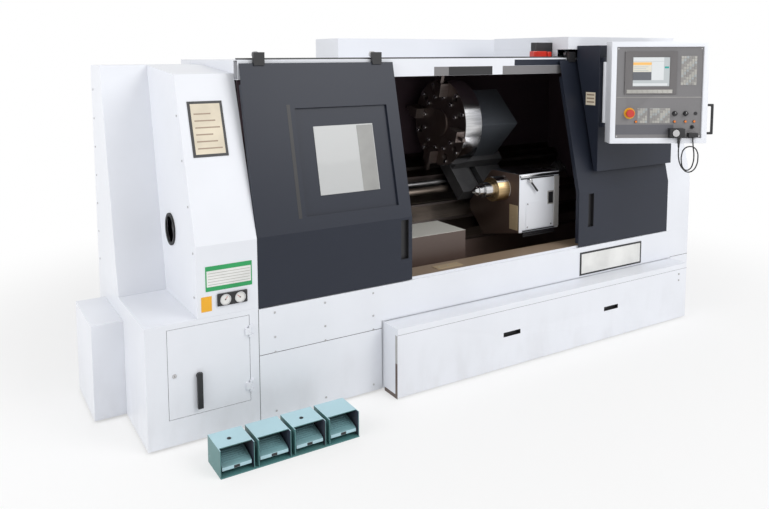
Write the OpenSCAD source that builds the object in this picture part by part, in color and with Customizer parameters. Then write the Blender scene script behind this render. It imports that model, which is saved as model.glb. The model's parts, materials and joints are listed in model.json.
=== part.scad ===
// Slant-bed CNC turning lathe.
// Lengths are in millimetres. Sizes are measured from the base's front left corner on the floor:
// x runs right along the spindle line, y runs to the back, z runs up.
// The finished model is then set with its origin at the middle of the anchor bolts.

/* [Base] */
// Length of the base along the spindle line
base_l = 3990; // [3900:10:4300]
// Depth of the base from the front apron to the back wall
base_d = 1240; // [1230:5:1320]
// Gap between the sheet-metal skirts and the floor
skirt_gap = 12; // [8:1:20]
// Thickness of the sheet-metal covers
sheet = 3; // [2:0.5:4]
// Height of the sill at the front opening
sill_h = 611; // [600:1:640]
// Depth of the sill behind the front apron
sill_d = 210; // [150:5:240]
// Right end of the guard over the lower ways
way_guard_x = 2150; // [2100:5:2170]
// Setback of the guard over the lower ways
way_guard_y = 330; // [300:5:380]
// Room between the chuck and the way guard below it
way_guard_gap = 30; // [20:1:60]
// Underside of the bed casting above the floor
foot_h = 60; // [50:1:90]
// Thickness of the casting's foot plate
plate_t = 60; // [40:1:70]
// Distance of the anchor holes from the ends of the base
anchor_in = 130; // [120:1:140]
// Distance of the anchor holes from the front of the base
anchor_y0 = 110; // [100:1:120]
// Radius of the anchor holes
anchor_r = 12; // [8:0.5:16]

/* [Left end] */
// Length of the base cabinet
cab_l = 571; // [540:1:590]
// Depth of the base cabinet and rear column
cab_d = 1080; // [1060:5:1120]
// Height of the base cabinet
cab_h = 621; // [615:1:650]
// Left face of the headstock cover
cover_x = 255; // [240:1:275]
// Height of the bend in the headstock cover's front
cover_bend_h = 980; // [940:5:1020]
// Setback of the headstock cover's top edge
cover_top_y = 285; // [240:5:320]
// Height of the headstock cover's top edge
cover_top_h = 1808; // [1760:2:1830]
// Setback of the rear column's foot
column_y = 556; // [530:2:580]
// Setback of the rear column's top edge
column_top_y = 818; // [780:2:840]
// Height of the rear column
column_h = 1851; // [1840:1:1870]
// Width of the side box
side_box_l = 160; // [150:1:200]
// Setback of the side box
side_box_y = 460; // [440:2:470]
// Depth of the side box
side_box_d = 465; // [450:5:520]
// Height of the side box
side_box_h = 521; // [500:1:560]
// Left edge of the access door
hatch_x = 105; // [90:1:120]
// Width of the access door
hatch_w = 415; // [380:1:420]
// Bottom of the access door
hatch_z = 145; // [142:1:160]
// Height of the access door
hatch_h = 447; // [420:1:450]
// Gap round the access door
hatch_gap = 2; // [1:0.5:4]

/* [Sliding doors] */
// Width of the left door
left_door_l = 940; // [900:5:960]
// Width of the right door
right_door_l = 900; // [880:5:940]
// Height of the bend in the doors
door_bend_h = 983; // [940:1:1020]
// Setback of the doors' top edge
door_top_y = 207; // [190:1:215]
// Height of the doors' top edge
door_top_h = 1861; // [1850:1:1866]
// Depth of the doors' side flanges
door_flange = 30; // [20:1:34]
// Gap between the doors and the sill
door_gap = 5; // [4:0.5:8]
// Width of the window pane
pane_w = 370; // [330:5:400]
// Height of the window pane along the slope
pane_h = 375; // [340:5:400]
// Width of the frame round the pane
pane_frame = 105; // [80:1:110]
// Height of the pane above the bend along the slope
pane_z = 177; // [160:1:220]
// Distance of the pane from the door's free edge
pane_in = 181; // [170:1:200]
// Depth of the recess that holds the pane
pane_recess = 14; // [8:1:20]
// Thickness of the window pane
pane_t = 6; // [4:0.5:8]
// Width of the recessed door pulls
pull_w = 50; // [40:1:60]
// Height of the recessed door pulls
pull_h = 226; // [180:2:240]
// Depth of the recessed door pulls
pull_d = 22; // [14:1:24]
// Radius of the hanger rollers
roller_r = 18; // [14:0.5:20]

/* [Right end] */
// Length of the right end cover
end_l = 246; // [220:2:280]
// Height of the right end cover
end_h = 1935; // [1932:1:1950]
// Height of the top housing above the end cover
top_rise = 85; // [70:1:120]
// Length of the top housing to the left of the end cover
top_l = 844; // [780:2:860]
// Depth of the top housing
top_d = 775; // [700:5:800]
// Length of the control housing
control_l = 760; // [740:2:780]
// Height of the control housing's bottom above the bend in the doors
control_rise = 137; // [120:1:170]
// Top of the control housing
control_h = 1960; // [1945:1:1980]
// How far the control housing stands in front of the apron
control_y = 18; // [10:1:24]
// Left end of the rear cabinet
rear_x = 1700; // [1660:5:1740]
// Length of the rear cabinet
rear_l = 1620; // [1500:10:1800]
// Depth of the rear cabinet
rear_d = 360; // [300:5:420]
// Height of the rear cabinet
rear_h = 2022; // [1980:2:2060]

/* [Coolant tank] */
// Left end of the tank
tank_x = 1316; // [1312:1:1340]
// Length of the apron to the right of the tank
tank_end = 206; // [202:1:260]
// How far the tank stands in front of the apron
tank_y = 150; // [120:2:170]
// Depth of the tank under the machine
tank_d = 690; // [600:5:700]
// Height of the tank's rim
tank_h = 404; // [380:1:404]
// Thickness of the tank's walls
tank_t = 4; // [3:0.5:6]
// Width of the tank's pulls
tank_pull_w = 134; // [120:1:150]
// Height of the tank's pulls
tank_pull_h = 28; // [24:1:36]

/* [Spindle line] */
// Setback of the spindle axis
axis_y = 424; // [416:1:430]
// Height of the spindle axis
axis_h = 986; // [980:1:992]
// Distance of the bed's ways below the spindle axis, square to the slope
way_n = 400; // [396:1:404]
// Radius of the bar bore through the spindle
bore_r = 40; // [30:1:45]
// Radius of the spindle at its front bearing
front_r = 85; // [78:1:90]
// Radius of the spindle at its rear bearing
rear_r = 70; // [64:1:74]
// Wall of the bearing rings
bearing_t = 32; // [24:1:36]
// Running clearance of shafts in their bores
running = 0.05; // [0.02:0.01:0.1]
// Length of the headstock
head_l = 450; // [420:5:470]
// Half height of the headstock round the spindle
head_half = 214; // [190:2:220]
// Radius of the chuck
chuck_r = 200; // [160:5:205]
// Length of the chuck body
chuck_l = 170; // [150:2:180]
// Width of the chuck jaws
jaw_w = 50; // [40:1:60]
// Height of the chuck jaws from their slot
jaw_l = 95; // [70:1:100]
// Radius of the spindle pulley
pulley_r = 112; // [100:1:120]
// Radius of the motor pulley
motor_pulley_r = 84; // [70:1:95]
// Radius of the drive motor
motor_r = 165; // [150:1:175]
// Setback of the drive motor's axis
motor_y = 692; // [680:1:700]
// Height of the drive motor's axis
motor_h = 300; // [290:1:320]

/* [Turret] */
// Left face of the turret disc
disc_x = 2315; // [2290:1:2325]
// Thickness of the turret disc
disc_t = 140; // [120:1:145]
// Radius of the turret disc
disc_r = 310; // [290:1:312]
// Distance of the disc's centre from the spindle axis along the slope
disc_u = 610; // [605:1:620]
// Radius of the station bores
station_r = 25; // [20:0.5:28]
// Radius of the circle of station bores
station_ring = 250; // [240:1:252]
// Length of the turret body
turret_l = 390; // [360:2:400]
// Radius of the turret shaft
turret_shaft_r = 80; // [70:1:90]
// Radius of the Z screw
z_screw_r = 25; // [20:0.5:27]
// Radius of the X screw
x_screw_r = 16; // [13:0.5:17]

/* [Tailstock] */
// Left face of the tailstock body
tail_x = 2540; // [2520:2:2560]
// Length of the tailstock body
tail_l = 360; // [320:2:380]
// Radius of the tailstock's nose
tail_nose_r = 85; // [75:1:88]
// Radius of the quill
quill_r = 52; // [45:1:56]
// Length of the quill that shows at the nose
quill_out = 80; // [60:1:90]
// Radius of the live centre's head
centre_r = 36; // [28:1:40]
// Length of the live centre's head
centre_l = 100; // [80:1:110]

/* [Pendant] */
// Width of the pendant
pendant_w = 628; // [600:2:640]
// Height of the pendant
pendant_h = 658; // [640:2:680]
// Bottom of the pendant
pendant_z = 1324; // [1300:2:1340]
// Depth of the pendant box
pendant_d = 110; // [90:2:120]
// Angle that the pendant stands away from the front
pendant_swing = 31.4; // [20:0.2:40]
// Width of the white frame round the pendant's panel
frame_w = 34; // [24:1:40]
// Depth of the panel behind the frame
panel_recess = 10; // [6:1:14]
// Radius of the hinge pin
hinge_r = 12; // [8:0.5:14]
// Radius of the emergency stop's head
stop_r = 26; // [20:0.5:30]
// Radius of the override knobs
knob_r = 17; // [14:0.5:20]
// Diameter of the hand unit's cord
cord_d = 8; // [6:0.5:10]

/* [Pedals] */
// Left edge of the pedal unit
pedal_x = 226; // [200:2:250]
// Front edge of the pedal unit
pedal_y = 380; // [360:2:400]
// Width of one pedal guard
guard_w = 165; // [155:1:170]
// Distance from one pedal to the next
guard_pitch = 184; // [180:1:200]
// Depth of a pedal guard
guard_d = 178; // [165:1:185]
// Height of a pedal guard
guard_h = 132; // [120:1:134]
// Thickness of a pedal guard's wall
guard_t = 4; // [3:0.5:5]

/* [Hidden] */
$fn = 48;

// Colours
WHITE = "#e8eaf0";
NAVY = "#343a4c";
DARK = "#2a2830";
IRON = "#4c5054";
STEEL = "#b8bcc0";
TEAL = "#7fb4bb";
GREY = "#7d7a7c";

// Slope of the bed and number of tool stations
slant = 45;
stations = 12;

// Places along the machine
right_x = base_l - end_l;
tank_l = base_l - tank_x - tank_end;
left_edge_x = cab_l + left_door_l;
right_edge_x = right_x - right_door_l;
bed_x0 = cab_l + 29;
bed_x1 = right_x - 44;
head_x1 = bed_x0 + head_l;
guard_x = head_x1 + 12;
chuck_x0 = head_x1 + 30;
chuck_x1 = chuck_x0 + chuck_l;
spindle_x0 = cover_x + 20;
pulley_x0 = cover_x + 45;
pulley_x1 = pulley_x0 + 120;

// Sheet-metal lines
header_y0 = door_top_y + 18;
header_y1 = header_y0 + 60;
header_z0 = 1774;
header_z1 = 1878;
rail_h = 10;
guard_y = 60;
door_tilt = atan2(door_top_y, door_top_h - door_bend_h);
door_slope_l = norm([door_top_y, door_top_h - door_bend_h]);
door_z0 = sill_h + door_gap;
door_end_gap = 1;
control_gap = 22;
control_z = door_bend_h + control_rise;
tank_clear = 6;
top_h = end_h + top_rise;
tunnel_clear = 10;
hatch_x1 = hatch_x + hatch_w;

// Hinges of the access door: axis, pin radius, and the foot of each one
hatch_hinge = [hatch_x1 + hatch_gap / 2, -8];
hatch_pin_r = 3.5;
hatch_hinge_z = [hatch_z + 50, hatch_z + hatch_h - 110];
hatch_hinge_h = 60;
hatch_lug_h = 12;

// Slant frame: u runs up the slope from the spindle axis, n stands square to it.
bed_n = -way_n - 40;
bed_u0 = -120;
bed_u1 = 670;
screw_u = 410;
screw_n = -way_n - 70;
channel = 50;
saddle_x0 = disc_x + disc_t + 15;
saddle_x1 = saddle_x0 + 450;
saddle_u0 = 190;
saddle_u1 = 600;
saddle_t = 100;
cross_t = 80;
cross_n = -way_n + saddle_t;
turret_n0 = cross_n + cross_t;
turret_n1 = 150;
turret_half = 170;
x_screw_n = cross_n - 50;
x_screw_x = saddle_x0 + 190;
screw_fit = 0.3;
seat_n = -way_n + 0.02;

// Shank of the live centre inside the quill
shank_l = quill_out - 8;

// Hinge of the pendant
hinge_x = right_x - control_l + 38;
hinge_y = -control_y - 25;
panel_y = -25 - pendant_d + panel_recess;

// Places on the panel, from the frame's lower left corner
stop_at = [92, 162];
feed_at = [385, 160];
speed_at = [455, 160];
stop_gap = 0.3;
bezel_t = 6;

// Anchor holes and feet
anchor_x0 = anchor_in;
anchor_dx = base_l - 2 * anchor_in;
anchor_dy = cab_d - anchor_y0 - 70;
origin = [base_l / 2, anchor_y0 + anchor_dy / 2, 0];
foot_r = 62;
foot_t = 20;
stud_offset = 45;

function slant_yz(u, n) =
    [axis_y + u * cos(slant) - n * sin(slant), axis_h + u * sin(slant) + n * cos(slant)];
function front_y(z) = z <= door_bend_h ? 0 : (z - door_bend_h) * tan(door_tilt);

// Box between two corners.
module slab(x, y, z) {
    translate([x[0], y[0], z[0]]) cube([x[1] - x[0], y[1] - y[0], z[1] - z[0]]);
}

// A section drawn in y and z, run along x.
module along_x(x, points) {
    translate([x[0], 0, 0]) rotate([90, 0, 90]) linear_extrude(x[1] - x[0]) polygon(points);
}

// Round bar along x.
module bar_x(x, r, at) {
    translate([x[0], at[0], at[1]]) rotate([0, 90, 0]) cylinder(r = r, h = x[1] - x[0]);
}

// Inner corner i of a sheet of thickness t that is folded along points.
function fold_side(d) = [d[1], -d[0]] / norm(d);
function fold_corner(points, i, t) =
    let (
        last = len(points) - 1,
        before = fold_side(points[max(i, 1)] - points[max(i, 1) - 1]),
        after = fold_side(points[min(i + 1, last)] - points[min(i, last - 1)])
    ) points[i] + t * (before + after) / (1 + before * after);

// Sheet folded along a run of points, with its thickness on the inner side.
module folded(x, points, t) {
    along_x(x, concat(points, [for (i = [len(points) - 1 : -1 : 0]) fold_corner(points, i, t)]));
}

module on_slant() {
    translate([0, axis_y, axis_h]) rotate([slant, 0, 0]) children();
}

module on_door_slope() {
    translate([0, 0, door_bend_h]) rotate([-door_tilt, 0, 0]) children();
}

module on_pendant() {
    translate([hinge_x, hinge_y, 0]) rotate([0, 0, -pendant_swing]) children();
}

module in_frame() {
    translate(-origin) children();
}

// Base

module bed_section() {
    back = base_d - sheet;
    top = slant_yz(bed_u1, bed_n);
    foot = slant_yz(bed_u0, bed_n);
    polygon([[foot[0], foot_h], foot, top, [back, top[1]], [back, foot_h]]);
}

// Hollow between the ribs of the bed, open below.
module bed_pocket(x) {
    wall = 60;
    front = slant_yz(bed_u0, bed_n)[0] + wall;
    back = base_d - sheet - wall;
    under = axis_h + (screw_n - channel - 10 - wall) / cos(slant);
    top = [for (y = [front, back]) [y, under + (y - axis_y) * tan(slant)]];
    along_x(x, [[front, foot_h - 1], top[0], top[1], [back, foot_h - 1]]);
}

module ways() {
    for (u = [[bed_u0, -50], [60, 120], [200, 270], [520, 590]])
        slab([bed_x0, bed_x1], u, [bed_n - 1, -way_n]);
}

module bed_casting() {
    bays = 5;
    rib = 60;
    bay = (bed_x1 - bed_x0 - rib) / bays;
    tank_x1 = tank_x + tank_l;
    back = base_d - sheet;
    color(IRON) difference() {
        union() {
            translate([bed_x0, 0, 0]) rotate([90, 0, 90]) linear_extrude(bed_x1 - bed_x0) bed_section();
            on_slant() ways();
            slab([sheet, tank_x - tunnel_clear], [sheet, cab_d - sheet], [foot_h, foot_h + plate_t]);
            slab([tank_x1 + tunnel_clear, base_l - sheet], [sheet, back], [foot_h, foot_h + plate_t]);
            slab([bed_x1 - 1, base_l - sheet], [tank_d - tank_y + 20, back], [foot_h, foot_h + plate_t]);
        }
        on_slant() slab([bed_x0 - 1, bed_x1 + 1], [screw_u - channel, screw_u + channel],
            [screw_n - channel - 10, 0]);
        for (i = [0 : bays - 1]) bed_pocket([bed_x0 + rib + i * bay, bed_x0 + (i + 1) * bay]);
    }
}

module levelling_feet() {
    color(DARK) for (ix = [0, 1], iy = [0, 1])
        translate([anchor_x0 + ix * anchor_dx, anchor_y0 + iy * anchor_dy, 0]) difference() {
            union() {
                cylinder(r = foot_r, h = foot_t);
                translate([(1 - 2 * ix) * stud_offset, 0, 0]) cylinder(r = 18, h = foot_h);
            }
            translate([0, 0, -1]) cylinder(r = anchor_r, h = foot_t + 2);
        }
}

module base_cabinet() {
    wall = [[0, skirt_gap], [0, cab_h], [cab_d, cab_h], [cab_d, skirt_gap]];
    color(WHITE) difference() {
        union() {
            folded([0, cab_l], wall, sheet);
            along_x([0, sheet], wall);
        }
        slab([hatch_x - hatch_gap, hatch_x1 + hatch_gap], [-1, sheet + 1],
            [hatch_z - hatch_gap, hatch_z + hatch_h + hatch_gap]);
        bar_x([-1, sheet + 1], motor_r + 10, [motor_y, motor_h]);
        slab([pulley_x0 - 20, pulley_x1 + 20], [axis_y - 160, motor_y + 120],
            [cab_h - sheet - 1, cab_h + 1]);
    }
    color(WHITE) hatch_lugs();
}

// Fixed half of the access door's hinges: two lugs and the pin between them.
module hatch_lugs() {
    x = hatch_hinge[0];
    y = hatch_hinge[1];
    for (z = hatch_hinge_z) {
        for (lug_z = [z, z + hatch_hinge_h - hatch_lug_h]) {
            slab([x - 5, x + 16], [y - 5, y + 5], [lug_z, lug_z + hatch_lug_h]);
            slab([x + 4, x + 16], [y, 1], [lug_z, lug_z + hatch_lug_h]);
        }
        translate([x, y, z + 1]) cylinder(r = hatch_pin_r, h = hatch_hinge_h - 2);
    }
}

// Moving half: a barrel on a leaf.
module hatch_barrels() {
    x = hatch_hinge[0];
    y = hatch_hinge[1];
    h = hatch_hinge_h - 2 * hatch_lug_h - 1;
    for (z = hatch_hinge_z) translate([0, 0, z + hatch_lug_h + 0.5]) difference() {
        union() {
            translate([x, y, 0]) cylinder(r = hatch_pin_r + 2.5, h = h);
            slab([x - 24, x], [y - 2, y + 2], [0, h]);
            slab([x - 24, x - 12], [y - 2, 1], [0, h]);
        }
        translate([x, y, -1]) cylinder(r = hatch_pin_r + running, h = h + 2);
    }
}

module side_box() {
    y1 = side_box_y + side_box_d;
    wall = [[side_box_y, skirt_gap], [side_box_y, side_box_h], [y1, side_box_h], [y1, skirt_gap]];
    color(WHITE) {
        folded([-side_box_l, 0], wall, sheet);
        along_x([-side_box_l, sheet - side_box_l], wall);
    }
}

module rear_column() {
    wall = [[column_y, cab_h], [column_top_y, column_h], [cab_d, column_h], [cab_d, cab_h]];
    color(WHITE) difference() {
        union() {
            folded([0, cab_l], wall, sheet);
            along_x([0, sheet], wall);
        }
        slab([cover_x + 20, cab_l - 20], [column_y - 20, column_top_y + 20], [cab_h - 1, column_h - 120]);
        slab([-1, cab_l + 1], [column_y - 20, cab_d + 1], [cab_h - 20, cab_h]);
    }
}

module headstock_cover() {
    lean = (column_top_y - column_y) / (column_h - cab_h);
    front = [[0, cab_h], [0, cover_bend_h], [cover_top_y, cover_top_h], [column_top_y, column_h]];
    inner = [for (i = [2 : -1 : 0]) fold_corner(front, i, sheet)];
    rim = concat(front, [[column_top_y - sheet * lean, column_h - sheet]]);
    color(WHITE) difference() {
        union() {
            along_x([cover_x, cab_l], concat(rim, inner));
            along_x([cover_x, cover_x + sheet], concat(rim, [[column_y, cab_h]]));
        }
        bar_x([cover_x - 1, cover_x + sheet + 1], 75, [axis_y, axis_h]);
    }
}

module front_apron() {
    x1 = tank_x + tank_l;
    color(WHITE) {
        difference() {
            slab([cab_l, base_l], [0, sheet], [skirt_gap, sill_h]);
            slab([tank_x - tunnel_clear, x1 + tunnel_clear], [-1, sheet + 1], [0, tank_h + tank_clear]);
        }
        slab([cab_l, base_l - sheet], [sheet, 34], [sill_h - sheet, sill_h]);
        slab([cab_l, right_x], [14, 20], [sill_h, sill_h + 14]);
    }
}

// Work zone

module chip_tray() {
    bed_front = slant_yz(bed_u0, bed_n);
    x = [guard_x + 8, right_x - 8];
    guard_z = axis_h - chuck_r - way_guard_gap;
    color(GREY) {
        folded(x, [[34, sill_h], [sill_d, sill_h], [sill_d, tank_h + 54],
            [bed_front[0] - sheet, tank_h + 34], [bed_front[0] - sheet, bed_front[1]]], sheet);
    }
    // Folded guard over the lower ways beside the chuck
    color(WHITE) {
        slab([guard_x + 8, way_guard_x], [way_guard_y, bed_front[0]], [guard_z, guard_z + sheet]);
        slab([guard_x + 8, way_guard_x], [way_guard_y, way_guard_y + sheet], [tank_h + 40, guard_z + sheet]);
    }
}

module back_wall() {
    z = [foot_h + plate_t, header_z1 - sheet];
    color(WHITE) {
        slab([cab_l, right_x], [base_d - sheet, base_d], z);
        slab([cab_l, cab_l + sheet], [cab_d - 40, base_d], z);
    }
}

module guard_front(x) {
    rise = header_z0 - door_bend_h;
    top_y = guard_y + rise * tan(door_tilt);
    folded(x, [[guard_y, sill_h], [guard_y, door_bend_h], [top_y, header_z0]], sheet);
}

module left_guard() {
    top_y = header_y1;
    clear_n = -way_n + 5;
    hole_r = chuck_r + 12;
    foot = min(sill_h, axis_h - hole_r - 20);
    color(DARK) {
        guard_front([cab_l, left_edge_x - 220]);
        difference() {
            along_x([guard_x, guard_x + sheet], [[guard_y + 1, foot], [guard_y + 1, door_bend_h],
                [guard_y + 1 + (header_z0 - door_bend_h) * tan(door_tilt), header_z0],
                [top_y, header_z0], [top_y, header_z1 - sheet], [base_d - sheet, header_z1 - sheet],
                [base_d - sheet, slant_yz(bed_u1, clear_n)[1]], slant_yz(bed_u1, clear_n),
                slant_yz(bed_u0, clear_n), [slant_yz(bed_u0, clear_n)[0], foot]]);
            bar_x([guard_x - 1, guard_x + sheet + 1], hole_r, [axis_y, axis_h]);
        }
    }
}

module right_guard() {
    color(DARK) guard_front([right_edge_x + 190, right_x]);
}

module roof_panel() {
    color(WHITE) {
        slab([cab_l, right_x], [header_y1, base_d], [header_z1 - sheet, header_z1]);
        slab([cab_l, cab_l + sheet], [header_y1, cab_d - 40], [cover_top_h - 60, header_z1]);
    }
}

module door_header() {
    color(WHITE) difference() {
        slab([cab_l, right_x], [header_y0, header_y1], [header_z0, header_z1]);
        slab([cab_l - 1, right_x + 1], [header_y0 + sheet, header_y1 - sheet],
            [header_z0 + sheet, header_z1 - sheet]);
    }
    color(DARK) slab([cab_l, right_x], [header_y0 + 25, header_y0 + 35], [header_z1, header_z1 + rail_h]);
}

// Right end and back

module right_end_cover() {
    top_y = front_y(end_h);
    front = [[0, sill_h], [0, door_bend_h], [top_y, end_h], [base_d, end_h], [base_d, skirt_gap]];
    left = [[sheet, sill_h], [sheet, door_bend_h], [top_y + sheet, end_h - sheet],
        [base_d - sheet, end_h - sheet], [base_d - sheet, sill_h]];
    at = slant_yz(screw_u, screw_n);
    color(WHITE) {
        folded([right_x, base_l], front, sheet);
        along_x([base_l - sheet, base_l], concat([[sheet, skirt_gap], [sheet, sill_h], [0, sill_h]],
            [for (i = [1 : 4]) front[i]]));
        difference() {
            along_x([right_x, right_x + sheet], left);
            bar_x([right_x - 1, right_x + sheet + 1], z_screw_r + 12, at);
        }
    }
}

module top_housing() {
    y0 = front_y(door_top_h) - control_gap;
    y1 = y0 + top_d;
    color(WHITE) difference() {
        slab([right_x - top_l, base_l], [y0, y1], [end_h, top_h]);
        slab([right_x - top_l + sheet, base_l - sheet], [y0 + sheet, y1 - sheet],
            [end_h - 1, top_h - sheet]);
    }
}

module control_housing() {
    back = front_y(door_top_h) - control_gap;
    x0 = right_x - control_l;
    x1 = right_x - 4;
    inner_z = [control_z + 40, door_top_h - 60];
    lug_z = [[pendant_z + 96, pendant_z + 124], [pendant_z + 528, pendant_z + 556]];
    color(NAVY) {
        difference() {
            along_x([x0, x1], [[-control_y, control_z], [front_y(control_z) - control_gap, control_z],
                [back, door_top_h], [back, control_h], [-control_y, control_h]]);
            slab([x0 + sheet, x1 - sheet], [sheet - control_y, back + 90], inner_z);
        }
        for (z = lug_z) {
            slab([hinge_x - 20, hinge_x + 20], [hinge_y, -control_y], z);
            translate([hinge_x, hinge_y, z[0]]) cylinder(r = 20, h = z[1] - z[0]);
        }
        translate([hinge_x, hinge_y, lug_z[0][0]]) cylinder(r = hinge_r, h = lug_z[1][1] - lug_z[0][0]);
    }
}

module rear_cabinet() {
    color(WHITE) difference() {
        slab([rear_x, rear_x + rear_l], [base_d, base_d + rear_d], [skirt_gap, rear_h]);
        slab([rear_x + sheet, rear_x + rear_l - sheet], [base_d + sheet, base_d + rear_d - sheet],
            [skirt_gap - 1, rear_h - sheet]);
    }
}

// Spindle drive

module headstock() {
    at = [axis_y, axis_h];
    front = axis_y - head_half;
    top = axis_h + head_half;
    color(IRON) difference() {
        along_x([bed_x0, head_x1], [[front, axis_h - head_half], [front, top],
            [axis_y + head_half - 20, top], slant_yz(430, seat_n),
            slant_yz(bed_u0, seat_n), [axis_y + 76, axis_h - 286]]);
        bar_x([bed_x0 - 1, head_x1 + 1], front_r + 8, at);
        bar_x([bed_x0 - 1, bed_x0 + 80], rear_r + bearing_t, at);
        bar_x([head_x1 - 110, head_x1 + 1], front_r + bearing_t, at);
    }
}

module bearing(x, r) {
    difference() {
        bar_x(x, r + bearing_t - running, [axis_y, axis_h]);
        bar_x([x[0] - 1, x[1] + 1], r + running, [axis_y, axis_h]);
    }
}

module spindle_bearings() {
    color(STEEL) {
        bearing([bed_x0 + 20, bed_x0 + 80], rear_r);
        bearing([head_x1 - 110, head_x1 - 20], front_r);
    }
}

module spindle() {
    at = [axis_y, axis_h];
    color(STEEL) difference() {
        union() {
            bar_x([spindle_x0, head_x1], rear_r - 10, at);
            bar_x([pulley_x1 + 4, head_x1], rear_r, at);
            bar_x([head_x1 - 140, chuck_x0], front_r, at);
            bar_x([chuck_x0 - 22, chuck_x0], front_r + 45, at);
        }
        bar_x([spindle_x0 - 1, chuck_x0 + 1], bore_r, at);
    }
}

module grooved_pulley(x, r, bore, at) {
    grooves = 4;
    pitch = (x[1] - x[0]) / grooves;
    difference() {
        bar_x(x, r, at);
        bar_x([x[0] - 1, x[1] + 1], bore, at);
        for (i = [0 : grooves - 1]) difference() {
            bar_x([x[0] + (i + 0.25) * pitch, x[0] + (i + 0.75) * pitch], r + 1, at);
            bar_x([x[0], x[1]], r - 12, at);
        }
    }
}

module spindle_pulley() {
    color(IRON) grooved_pulley([pulley_x0, pulley_x1], pulley_r, rear_r - 10, [axis_y, axis_h]);
}

module motor_pulley() {
    color(IRON) {
        grooved_pulley([pulley_x0, pulley_x1], motor_pulley_r, 24, [motor_y, motor_h]);
        bar_x([pulley_x0 - 35, pulley_x1 - 10], 24, [motor_y, motor_h]);
    }
}

module drive_motor() {
    color(IRON) {
        difference() {
            bar_x([sheet - side_box_l + 20, pulley_x0 - 15], motor_r, [motor_y, motor_h]);
            bar_x([pulley_x0 - 36, pulley_x0 - 14], 24 + running, [motor_y, motor_h]);
        }
        for (x = [30, 200])
            slab([x, x + 50], [motor_y - 130, motor_y + 130], [foot_h + plate_t, motor_h - motor_r + 60]);
    }
}

module drive_belts() {
    grooves = 4;
    pitch = (pulley_x1 - pulley_x0) / grooves;
    lift = 0.6;
    color(DARK) for (i = [0 : grooves - 1])
        translate([pulley_x0 + (i + 0.29) * pitch, 0, 0]) rotate([90, 0, 90]) linear_extrude(0.42 * pitch)
            difference() {
                hull() {
                    translate([axis_y, axis_h]) circle(r = pulley_r - 2, $fn = 64);
                    translate([motor_y, motor_h]) circle(r = motor_pulley_r - 2, $fn = 64);
                }
                hull() {
                    translate([axis_y, axis_h]) circle(r = pulley_r - 12 + lift, $fn = 64);
                    translate([motor_y, motor_h]) circle(r = motor_pulley_r - 12 + lift, $fn = 64);
                }
            }
}

module chuck() {
    at = [axis_y, axis_h];
    color(STEEL) difference() {
        union() {
            bar_x([chuck_x0, chuck_x1 - 6], chuck_r, at);
            bar_x([chuck_x1 - 7, chuck_x1], chuck_r - 6, at);
        }
        bar_x([chuck_x0 - 1, chuck_x1 + 1], bore_r + 4, at);
        for (i = [0 : 2]) translate([0, axis_y, axis_h]) rotate([120 * i, 0, 0])
            slab([chuck_x1 - 15, chuck_x1 + 1], [-jaw_w / 2 - 0.3, jaw_w / 2 + 0.3], [0, chuck_r + 1]);
    }
}

module jaw(i) {
    x0 = chuck_x1 - 15;
    inner = bore_r + 40;
    color(STEEL) translate([0, axis_y, axis_h]) rotate([120 * (i - 1), 0, 0]) {
        half = jaw_w / 2;
        slab([x0, x0 + 55], [-half, half], [inner, chuck_r - 15]);
        slab([x0, x0 + jaw_l], [-half, half], [inner + 45, chuck_r - 15]);
    }
}

module jaw_1() { jaw(1); }
module jaw_2() { jaw(2); }
module jaw_3() { jaw(3); }

// Feed slides

module saddle() {
    groove = 30;
    color(IRON) on_slant() difference() {
        union() {
            slab([saddle_x0, saddle_x1], [saddle_u0, saddle_u1], [-way_n, cross_n]);
            slab([saddle_x0 + 120, saddle_x0 + 320], [screw_u - 40, screw_u + 40],
                [screw_n - 40, -way_n + 1]);
            slab([x_screw_x - 45, x_screw_x + 45], [saddle_u1 - 1, saddle_u1 + 135],
                [x_screw_n - 45, x_screw_n + 45]);
        }
        bar_x([saddle_x0, saddle_x1], z_screw_r + screw_fit, [screw_u, screw_n]);
        slab([x_screw_x - groove, x_screw_x + groove], [saddle_u0 + 50, saddle_u1 - 40],
            [x_screw_n - groove, cross_n + 1]);
        translate([x_screw_x, saddle_u0 + 20, x_screw_n]) rotate([-90, 0, 0])
            cylinder(r = x_screw_r - 4 + running, h = saddle_u1 - saddle_u0 + 20);
    }
}

module x_screw() {
    color(STEEL) on_slant() {
        translate([x_screw_x, saddle_u0 + 51, x_screw_n]) rotate([-90, 0, 0])
            cylinder(r = x_screw_r, h = saddle_u1 - saddle_u0 - 92);
        translate([x_screw_x, saddle_u0 + 22, x_screw_n]) rotate([-90, 0, 0])
            cylinder(r = x_screw_r - 4, h = saddle_u1 - saddle_u0 + 16);
    }
}

module cross_slide() {
    u0 = disc_u - 210;
    nut = 24;
    nut_u = [u0 + 45, u0 + 125];
    color(IRON) on_slant() difference() {
        union() {
            slab([saddle_x0 + 10, saddle_x1 - 10], [u0, u0 + 430], [cross_n, turret_n0]);
            slab([x_screw_x - nut, x_screw_x + nut], nut_u, [x_screw_n - nut, cross_n + 1]);
        }
        translate([x_screw_x, nut_u[0] - 1, x_screw_n]) rotate([-90, 0, 0])
            cylinder(r = x_screw_r + screw_fit, h = nut_u[1] - nut_u[0] + 2);
    }
}

module turret_body() {
    color(NAVY) on_slant() difference() {
        slab([disc_x + disc_t + 10, disc_x + disc_t + 10 + turret_l],
            [disc_u - turret_half, disc_u + turret_half], [turret_n0, turret_n1]);
        bar_x([disc_x, disc_x + disc_t + 120], turret_shaft_r + running, [disc_u, 0]);
    }
}

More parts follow.
